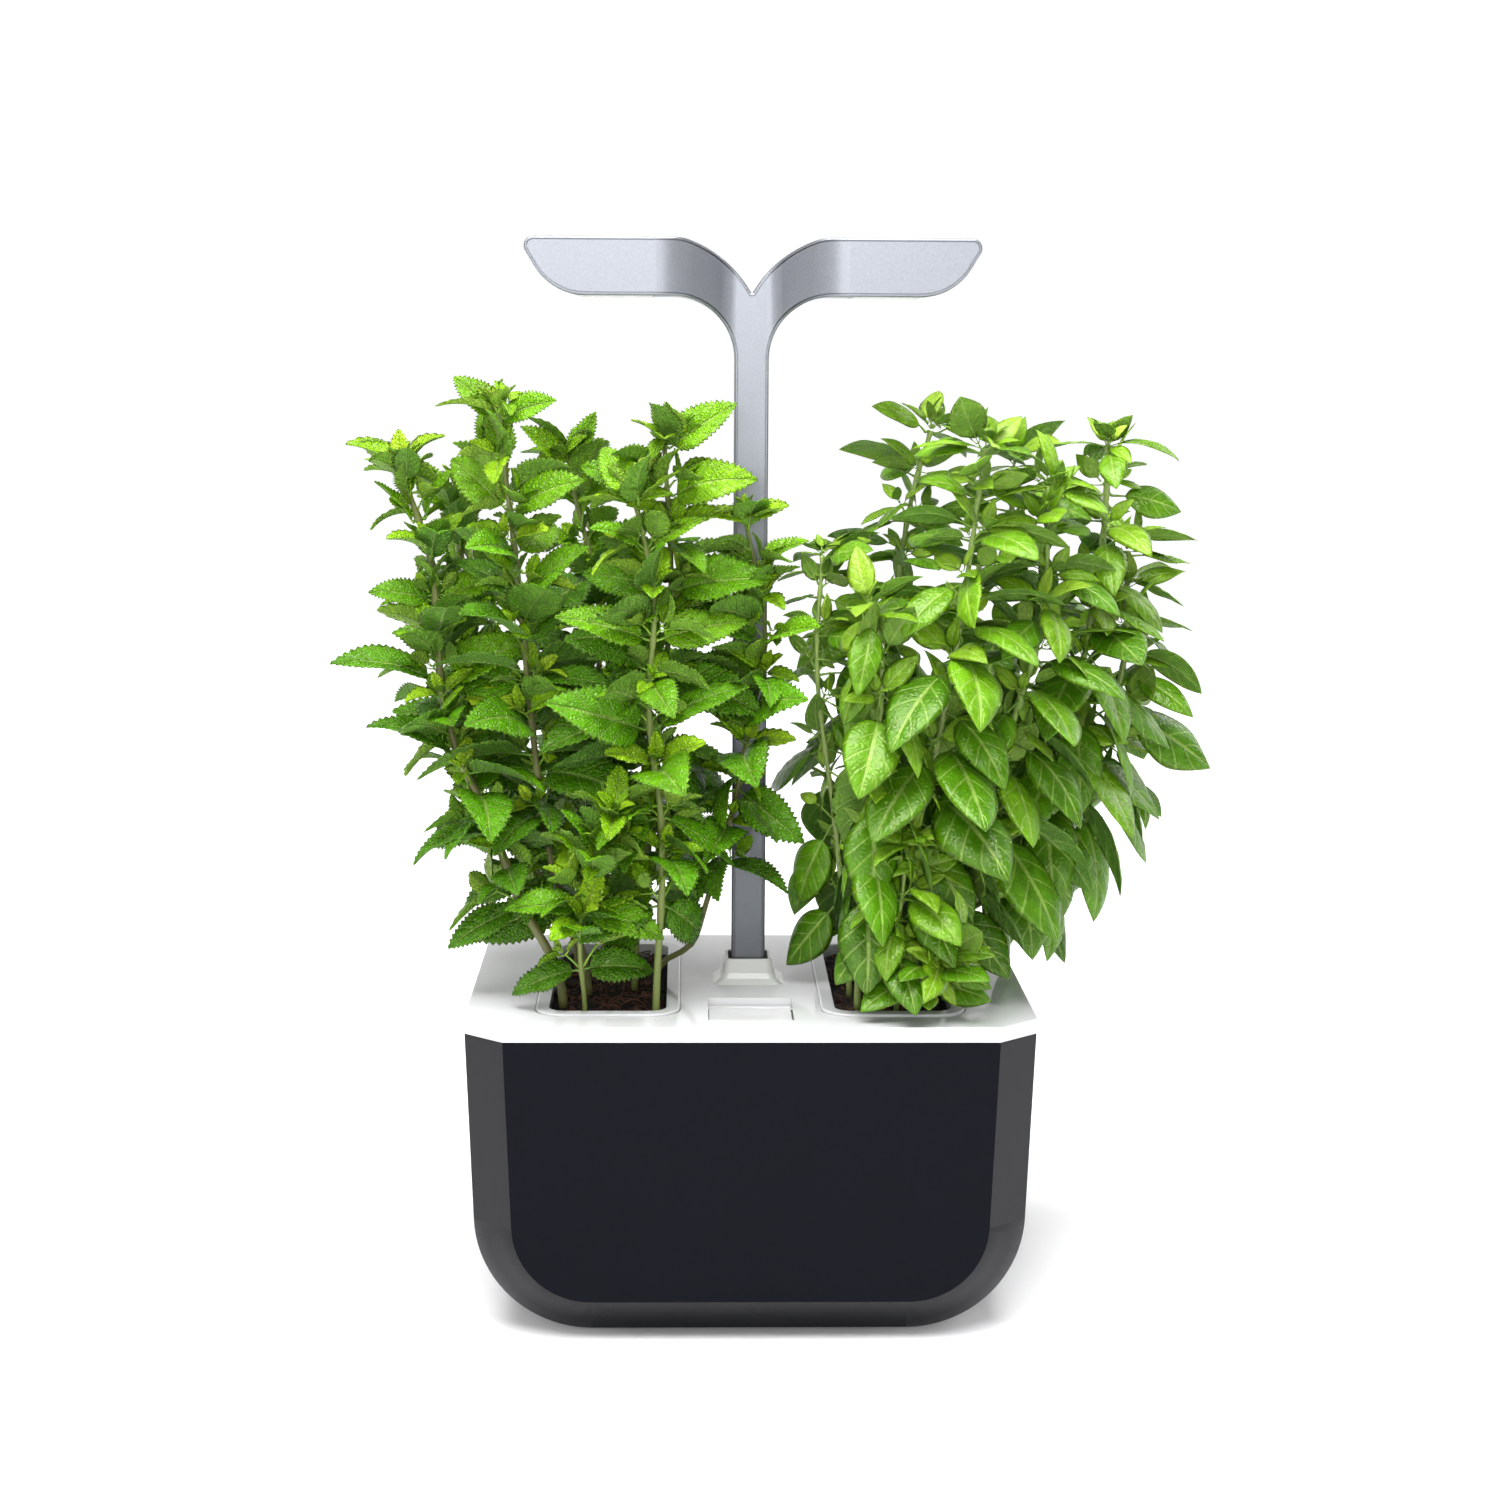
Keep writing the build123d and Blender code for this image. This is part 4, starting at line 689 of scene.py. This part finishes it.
def grow_blade(kind, leaf, arch, fold, cup, quilt, wave, twist):
    """Points of a leaf's blade, in the order of its mesh, their places on it and its stalk."""
    form = blade_kinds[kind]
    rows, columns = form["rows"], form["columns"]
    share = (np.arange(rows + 1) / rows) ** 0.92
    peak = form["early"] / (form["early"] + form["late"])
    highest = peak ** form["early"] * (1 - peak) ** form["late"]
    half = share ** form["early"] * (1 - share) ** form["late"] / highest * leaf["width"] / 2
    side = np.linspace(-1, 1, 2 * columns + 1)
    s, t = np.meshgrid(share, side, indexing="ij")
    reach = half[:, None] * np.ones_like(t)
    shift = np.zeros_like(s)
    if kind.endswith("mint"):
        tooth = np.where(np.arange(rows + 1) % 2, 1.0, -0.35)[:, None] * (np.abs(t) > 0.99)
        depth = 0.0010 if kind == "mint" else 0.0005
        reach = reach + depth * tooth * np.minimum(1, half / 0.003)[:, None]
        shift = np.maximum(tooth, 0) * 0.30 / rows
    stalk = leaf["length"] * leaf["petiole"]
    blade = leaf["length"] - stalk
    u = stalk + np.clip(s + shift, 0, 1) * blade
    v = t * reach
    tall = np.abs(v) * math.tan(fold) - cup * reach * t * t
    phase = s * form["veins"] - np.abs(t) * form["slant"]
    puff = 0.5 - 0.5 * np.cos(2 * np.pi * phase)
    inside = np.sin(np.pi * np.clip(np.abs(t), 0.0, 1.0)) ** 0.7
    tall = tall + quilt * puff * inside * np.minimum(1, half / 0.006)[:, None]
    tall = tall - 0.35 * quilt * (np.abs(t) < 0.05)
    size, turns, start = wave
    ripple = np.sin(2 * np.pi * (turns * s + start) + 2.1 * (t > 0))
    tall = tall + size * ripple * t * t * reach

    def place(u, v, w):
        """From places on the flat leaf to the arched and twisted one."""
        bend = arch if abs(arch) > 1e-3 else 1e-3
        arc = leaf["length"] * (bend / 2) / math.sin(bend / 2)
        angle = bend / 2 - bend * u / leaf["length"]
        run = arc / bend * (math.sin(bend / 2) - np.sin(angle))
        rise = arc / bend * (np.cos(angle) - math.cos(bend / 2))
        ahead, normal = leaf["ahead"], leaf["normal"]
        across = np.cross(normal, ahead)
        turn = twist * u / leaf["length"]
        lifted = np.cos(angle)[..., None] * normal - np.sin(angle)[..., None] * ahead
        sideways = np.cos(turn)[..., None] * across + np.sin(turn)[..., None] * lifted
        upward = np.cos(turn)[..., None] * lifted - np.sin(turn)[..., None] * across
        return (
            leaf["base"] + run[..., None] * ahead + rise[..., None] * normal
            + v[..., None] * sideways + w[..., None] * upward
        )

    top = place(u, v, tall)
    bottom = place(u, v, tall - leaf_skin * np.minimum(1, 3 * (1 - np.abs(t))))
    points = np.concatenate([
        top[0, columns][None], top[-1, columns][None],
        top[1:-1].reshape(-1, 3), bottom[1:-1, 1:-1].reshape(-1, 3),
    ])
    on_blade = np.stack([s, 0.5 + 0.5 * t], axis=-1)
    places = np.concatenate([
        on_blade[0, columns][None], on_blade[-1, columns][None],
        on_blade[1:-1].reshape(-1, 2), on_blade[1:-1, 1:-1].reshape(-1, 2),
    ])
    along = np.linspace(0, stalk + 0.10 * blade, 5)
    stalk_line = place(along, np.zeros(5), np.full(5, -0.0004))
    return points, places, stalk_line


class Foliage:
    """The growing mesh of one plant's leaves, and the facts its material reads."""

    def __init__(self):
        self.points, self.faces, self.under = [], [], []
        self.places, self.tints, self.count = [], [], 0

    def add(self, points, faces, places, tint, under):
        self.points.append(points)
        self.places.append(places)
        self.tints.append(np.tile(tint, (len(points), 1)))
        self.faces += [tuple(self.count + v for v in face) for face in faces]
        self.under += under
        self.count += len(points)

    def leaf(self, kind, leaf, tint, stalk_radius, **shape):
        points, places, stalk_line = grow_blade(kind, leaf, **shape)
        if in_the_way(points, leaf["margin"]) or not in_own_share(points, leaf["side"]):
            return False
        faces, backs = blade_meshes[kind]
        self.add(points, faces + backs, places, tint, [0] * len(faces) + [1] * len(backs))
        start = leaf["foot"] + (stalk_line[0] - leaf["foot"]) * 0.25
        line = np.concatenate([[start], stalk_line])
        made, sides = tube(line, np.linspace(stalk_radius, 0.4 * stalk_radius, len(line)), 5, 0)
        self.add(
            np.array(made), sides, np.tile((0.5, 0.5), (len(made), 1)), tint, [2] * len(sides)
        )
        return True

    def piece(self, name, body, materials):
        """The finished mesh as a piece that rides on the plant's basket."""
        points = np.concatenate(self.points)
        piece = add_piece(name, points, self.faces, body)
        mesh = piece.data
        corners = np.empty(len(mesh.loops), int)
        mesh.loops.foreach_get("vertex_index", corners)
        flat = mesh.uv_layers.new(name="blade")
        flat.uv.foreach_set("vector", np.concatenate(self.places)[corners].ravel())
        tint = mesh.color_attributes.new("tint", "FLOAT_COLOR", "POINT")
        tint.data.foreach_set("color", np.concatenate(self.tints).ravel())
        mesh.polygons.foreach_set("material_index", self.under)
        for material in materials:
            mesh.materials.append(material)
        return piece


def leaf_finish(name, form, vein_light, net_size, relief, roughness, crease_shade, under=False):
    """Leaf skin: its own tint, lighter midrib and side veins, and puffed skin between them, with
    painted shade in the creases between the puffs.
    """
    material, tree, shader = new_material(name)
    link = tree.links.new
    shader.inputs["Specular IOR Level"].default_value = 0.2 if under else 0.42
    shader.inputs["Specular Tint"].default_value = (0.95, 1.0, 0.65, 1)
    shader.inputs["Subsurface Weight"].default_value = 0.12
    shader.inputs["Subsurface Radius"].default_value = (0.6, 1.0, 0.25)
    shader.inputs["Subsurface Scale"].default_value = 0.0015
    tint = node(tree, "ShaderNodeAttribute", attribute_name="tint")
    flat = node(tree, "ShaderNodeUVMap", uv_map="blade")
    split = node(tree, "ShaderNodeSeparateXYZ")
    link(flat.outputs["UV"], split.inputs["Vector"])

    def sum_of(operation, first, second, third=None):
        made = node(tree, "ShaderNodeMath", operation=operation)
        for socket, value in zip(made.inputs, (first, second, third)):
            if isinstance(value, (int, float)):
                socket.default_value = value
            elif value is not None:
                link(value, socket)
        return made.outputs[0]

    def off_centre(value):
        """How far a value from 0 to 1 is from the middle, as a share of the half."""
        return sum_of("ABSOLUTE", sum_of("MULTIPLY_ADD", value, 2.0, -1.0), 0.0)

    off_middle = off_centre(split.outputs["Y"])
    run = sum_of("MULTIPLY", split.outputs["X"], float(form["veins"]))
    phase = sum_of("SUBTRACT", run, sum_of("MULTIPLY", off_middle, form["slant"]))
    side_vein = ranged(tree, off_centre(sum_of("FRACT", phase, 0.0)), 0.82, 0.95)
    midrib = ranged(tree, off_middle, 0.03, 0.10, 1.0, 0.0)
    vein = sum_of("MAXIMUM", sum_of("MULTIPLY", side_vein, 0.65), midrib)
    place = node(tree, "ShaderNodeTexCoord")
    net = node(tree, "ShaderNodeTexVoronoi", feature="DISTANCE_TO_EDGE", Scale=1 / net_size)
    link(place.outputs["Object"], net.inputs["Vector"])
    puff = ranged(tree, net.outputs["Distance"], 0.0, 0.42)
    cloud = noise_on(tree, Scale=150.0, Detail=3.0)

    veined = blend(
        tree, sum_of("MULTIPLY", vein, vein_light), tint.outputs["Color"], linear(156, 178, 92)
    )
    # painted shade: the tone falls towards the crease value in the creases of the net
    tone_with_painted_shade = sum_of(
        "MULTIPLY", ranged(tree, cloud, 0.3, 0.7, 0.80, 1.14),
        ranged(tree, puff, 0.0, 1.0, crease_shade, 1.08),
    )
    grey = node(tree, "ShaderNodeCombineColor")
    for socket in ("Red", "Green", "Blue"):
        link(tone_with_painted_shade, grey.inputs[socket])
    skin = blend(tree, 1.0, veined, grey.outputs["Color"], blend_type="MULTIPLY")
    if under:
        skin = blend(tree, 0.30, skin, linear(112, 138, 88))
    link(skin, shader.inputs["Base Color"])
    gloss = ranged(tree, cloud, 0.3, 0.7, roughness - 0.06, roughness + 0.08)
    link(gloss, shader.inputs["Roughness"])
    height = sum_of("MULTIPLY_ADD", puff, 0.6, sum_of("MULTIPLY", vein, 1.0 if under else -0.8))
    raise_surface(tree, shader, height, relief, 0.0009)
    return material


def stalk_finish(name):
    """Leaf stalks: the leaf's own tint, a little glossy, with a fine grain."""
    material, tree, shader = new_material(name)
    shader.inputs["Roughness"].default_value = 0.5
    tint = node(tree, "ShaderNodeAttribute", attribute_name="tint")
    pale = blend(tree, 0.35, tint.outputs["Color"], linear(136, 160, 78))
    tree.links.new(pale, shader.inputs["Base Color"])
    raise_surface(tree, shader, noise_on(tree, Scale=1200.0, Detail=2.0), 0.3, 0.0003)
    return material


def mixed(first, second, share):
    """A tint between two tints."""
    return tuple(a + (b - a) * share for a, b in zip(first, second))


# ---------------------------------------------------------------- growing the two plants
# Mint in the left basket, basil in the right one. A plant's leaves are one piece, as a plant
# is: their tints run from dark old leaves low down to yellow-green young ones at the tips.

plant_facts = {
    "mint": dict(
        side=-1, body="left_basket", seed=7, young="young_mint", petiole=0.06, slenderness=0.54,
        slim=(0.88, 1.04), between=(0.60, 0.95), shoots=(0.013, 0.027), shoot_slim=0.50,
        tints=[linear(40, 84, 2), linear(84, 144, 4), linear(130, 180, 10), linear(176, 206, 40)],
        foot=linear(78, 44, 36), shoot=linear(98, 108, 44), end_length=(0.022, 0.030),
        end=dict(pairs=4, spread=math.radians(18), shrink=0.68, youth=0.45, slim=0.46),
        skin=dict(vein_light=0.45, net_size=0.0016, relief=0.90, roughness=0.28, crease_shade=0.80),
        back=dict(vein_light=0.55, net_size=0.0016, relief=0.90, roughness=0.50, crease_shade=0.66),
    ),
    "basil": dict(
        side=1, body="right_basket", seed=11, young="young_basil", petiole=0.17, slenderness=0.46,
        slim=(0.78, 1.05), between=(0.75, 1.10), shoots=(0.015, 0.032), shoot_slim=0.48,
        tints=[linear(36, 72, 2), linear(72, 120, 6), linear(108, 150, 20), linear(150, 182, 56)],
        foot=linear(124, 140, 78), shoot=linear(112, 146, 54), end_length=(0.026, 0.033),
        end=dict(pairs=3, spread=math.radians(-12), shrink=0.62, youth=0.30, slim=0.44),
        skin=dict(vein_light=0.50, net_size=0.0024, relief=0.34, roughness=0.33, crease_shade=0.92),
        back=dict(vein_light=0.60, net_size=0.0024, relief=0.50, roughness=0.50, crease_shade=0.84),
    ),
}
green_stems = (4, 5, 6)  # counted from 0 at the left; they stay green almost to the foot


def tilted(ahead, normal, lift):
    """A direction and its upper side, raised by an angle."""
    return (
        math.cos(lift) * ahead + math.sin(lift) * normal,
        math.cos(lift) * normal - math.sin(lift) * ahead,
    )


def leaf_at(facts, foot, ahead, normal, length, slenderness, petiole, reach=0.0016):
    """A leaf's facts, for a leaf whose stalk starts near a point of a stem."""
    return dict(
        base=foot + ahead * reach, foot=foot, ahead=ahead, normal=normal, length=length,
        width=length * slenderness, petiole=petiole, side=facts["side"], margin=leaf_gap,
    )


def grown_shape(draw, plant, youth):
    """How a leaf is arched, folded and waved: young leaves are folded more and arched less."""
    if plant == "mint":
        return dict(
            arch=draw.uniform(0.35, 1.25) * (1 - 0.5 * youth),
            fold=math.radians(draw.uniform(8, 20) + 16 * youth),
            cup=draw.uniform(0.0, 0.18) * (1 - youth),
            quilt=0.00085 * (1 - 0.6 * youth),
            wave=(draw.uniform(0.03, 0.10), draw.uniform(1.2, 2.2), draw.random()),
            twist=draw.uniform(-0.25, 0.25),
        )
    return dict(
        arch=draw.uniform(0.45, 1.30) * (1 - 0.3 * youth),
        fold=math.radians(draw.uniform(4, 12) + 8 * youth),
        cup=draw.uniform(0.20, 0.48) * (1 - 0.6 * youth),
        quilt=0.00045,
        wave=(draw.uniform(0.02, 0.08), draw.uniform(0.8, 1.6), draw.random()),
        twist=draw.uniform(-0.30, 0.30),
    )


def rosette(foliage, facts, plant, draw, foot, axis, length, pairs, spread, shrink, youth, slim):
    """Opposite pairs of young leaves round the end of a shoot, each smaller and steeper."""
    turn = draw.uniform(0, math.pi)
    first = unit(np.cross(axis, (0.31, 0.52, 0.1)))
    second = np.cross(axis, first)
    for k in range(pairs):
        for half in (0, math.pi):
            around = turn + half + k * math.pi / 2 + draw.uniform(-0.2, 0.2)
            outward = math.cos(around) * first + math.sin(around) * second
            lift = spread + (math.radians(82) - spread) * k / max(1, pairs)
            lift += draw.uniform(-0.12, 0.12)
            ahead, normal = tilted(outward, axis, lift)
            size = length * shrink ** k * draw.uniform(0.88, 1.1)
            leaf = leaf_at(
                facts, foot + axis * 0.0012 * k, ahead, normal, size, slim, 0.10, reach=0.0006
            )
            age = min(1.0, youth + 0.12 * k)
            tint = shade_of(facts, draw, 1.5 + 1.2 * age)
            foliage.leaf(
                facts["young"], leaf, tint, 0.00035, **grown_shape(draw, plant, age)
            )


def shade_of(facts, draw, age):
    """A leaf's tint: 0 is the darkest of the plant's four tints and 3 the youngest."""
    age = min(max(age + draw.uniform(-0.35, 0.35), 0.0), 2.999)
    k = int(age)
    tint = mixed(facts["tints"][k], facts["tints"][k + 1], age - k)
    light = draw.uniform(0.85, 1.15)
    return tuple(c * light for c in tint[:3]) + (1.0,)


for plant, facts in plant_facts.items():
    draw = random.Random(facts["seed"])
    foliage = Foliage()
    petiole = facts["petiole"]
    plates = plant_plates[plant]

    # full-grown leaves, at the CAD plates, each turned a little its own way
    for plate in plates:
        ahead, normal = tilted(plate["ahead"], plate["normal"], draw.uniform(-0.30, 0.22))
        roll = draw.uniform(-0.45, 0.45)
        normal = math.cos(roll) * normal + math.sin(roll) * np.cross(normal, ahead)
        size = draw.uniform(0.92, 1.04)
        slim = draw.uniform(*facts["slim"])
        turned = dict(
            plate, ahead=ahead, normal=normal, length=size * plate["length"],
            width=slim * size * plate["width"],
        )
        age = 0.50 + 0.95 * plate["rise"] ** 1.5
        shape = grown_shape(draw, plant, 0.25 * plate["rise"])
        tint = shade_of(facts, draw, age)
        for leaf, ease in ((turned, 1.0), (turned, 0.5), (plate, 1.0), (plate, 0.5), (plate, 0.0)):
            leaf = dict(leaf, petiole=petiole, side=facts["side"], margin=grown_leaf_gap)
            eased = dict(shape, arch=shape["arch"] * ease, fold=shape["fold"] * max(ease, 0.2))
            if foliage.leaf(plant, leaf, tint, 0.0007, **eased):
                break

    for number, (line, _) in enumerate(plant_stems[plant]):
        own = sorted((p for p in plates if p["stem"] == number), key=lambda p: p["rise"])
        joints = []
        for plate in own:
            if not joints or plate["rise"] - joints[-1][0]["rise"] > 0.02:
                joints.append([plate])
            else:
                joints[-1].append(plate)

        # a pair halfway between two joints, turned between theirs
        for low, high in zip(joints, joints[1:]):
            rise = (low[0]["rise"] + high[0]["rise"]) / 2
            k = int(rise * (len(line) - 1))
            foot = line[k]
            axis = unit(line[min(k + 2, len(line) - 1)] - line[max(k - 2, 0)])
            away = unit(low[0]["ahead"] - low[0]["ahead"] @ axis * axis)
            beside = np.cross(axis, away)
            for half in (0.0, math.pi):
                if draw.random() < 0.20:
                    continue
                for turn in (0.8, 0.4, 1.2, 1.6):
                    around = turn + half + draw.uniform(-0.15, 0.15)
                    outward = math.cos(around) * away + math.sin(around) * beside
                    lift = math.asin(max(-0.9, min(0.9, low[0]["ahead"][2])))
                    lift += draw.uniform(-0.2, 0.2)
                    flat = unit(np.array((outward[0], outward[1], 0.0)))
                    ahead, normal = tilted(flat, np.array((0.0, 0.0, 1.0)), lift)
                    lean = draw.uniform(0.2, 0.9) * (1 if np.cross(ahead, normal)[1] < 0 else -1)
                    across = np.cross(normal, ahead)
                    normal = math.cos(lean) * normal + math.sin(lean) * across
                    length = low[0]["length"] * draw.uniform(*facts["between"])
                    leaf = leaf_at(
                        facts, foot, ahead, normal, length, facts["slenderness"], petiole
                    )
                    tint = shade_of(facts, draw, 0.6 + 1.1 * rise)
                    shape = grown_shape(draw, plant, 0.3 * rise)
                    if foliage.leaf(plant, leaf, tint, 0.0006, **shape):
                        break

        # small shoots above the leaf stalks
        for joint in joints:
            k = int(joint[0]["rise"] * (len(line) - 1))
            axis = unit(line[min(k + 2, len(line) - 1)] - line[max(k - 2, 0)])
            for plate in joint:
                outward = unit(plate["ahead"] - plate["ahead"] @ axis * axis)
                tip = unit(axis + 0.8 * outward)
                reach = draw.uniform(0.004, 0.014) * (1.1 - 0.7 * plate["rise"])
                start = line[k] + axis * 0.001
                foot = start + tip * reach
                if in_the_way(foot[None]):
                    continue
                elbow = (line[k] + foot) / 2 + axis * 0.0008
                made, sides = tube([start, elbow, foot], 0.0005, 5, 0)
                foliage.add(
                    np.array(made), sides, np.tile((0.5, 0.5), (len(made), 1)),
                    shade_of(facts, draw, 1.6), [2] * len(sides),
                )
                rosette(
                    foliage, facts, plant, draw, foot, tip, draw.uniform(*facts["shoots"]), 2,
                    math.radians(draw.uniform(10, 35)), 0.55, 0.2 + 0.4 * draw.random(),
                    facts["shoot_slim"],
                )

        # the rosette at the stem's end
        end = unit(line[-1] - line[-4])
        length = draw.uniform(*facts["end_length"])
        rosette(foliage, facts, plant, draw, line[-1], end, length, **facts["end"])

    form = blade_kinds[plant]
    skin = leaf_finish(plant + "_leaf", form, **facts["skin"])
    back = leaf_finish(plant + "_leaf_underside", form, **facts["back"], under=True)
    leaves = foliage.piece(
        plant + "_foliage", facts["body"], (skin, back, stalk_finish(plant + "_stalk"))
    )
    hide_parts(plant + "_leaves")

    # the stems themselves
    points, faces, tints = [], [], []
    for number, (line, radius) in enumerate(plant_stems[plant]):
        rises = np.linspace(0, 1, len(line))
        thick = radius * (1.05 - 0.45 * rises)
        for plate in plates:
            if plate["stem"] == number:
                off_joint = (rises - plate["rise"]) * len(line) / 0.8
                thick = thick * (1 + 0.22 * np.exp(-off_joint ** 2))
        thick = np.minimum(thick, radius * 1.15)
        made, sides = tube(line, thick, 8, len(points))
        points += made
        faces += sides
        brown = 0.3 * (1 - rises) if number in green_stems else np.clip(1.5 - rises, 0, 1)
        for share in brown:
            tints += [mixed(facts["shoot"], facts["foot"], float(share))] * 8
    stems = add_piece(plant + "_shoots", points, faces, facts["body"])
    tint = stems.data.color_attributes.new("tint", "FLOAT_COLOR", "POINT")
    tint.data.foreach_set("color", np.array(tints).ravel())
    stems.data.materials.append(stalk_finish(plant + "_stem"))
    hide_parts(plant + "_stems")
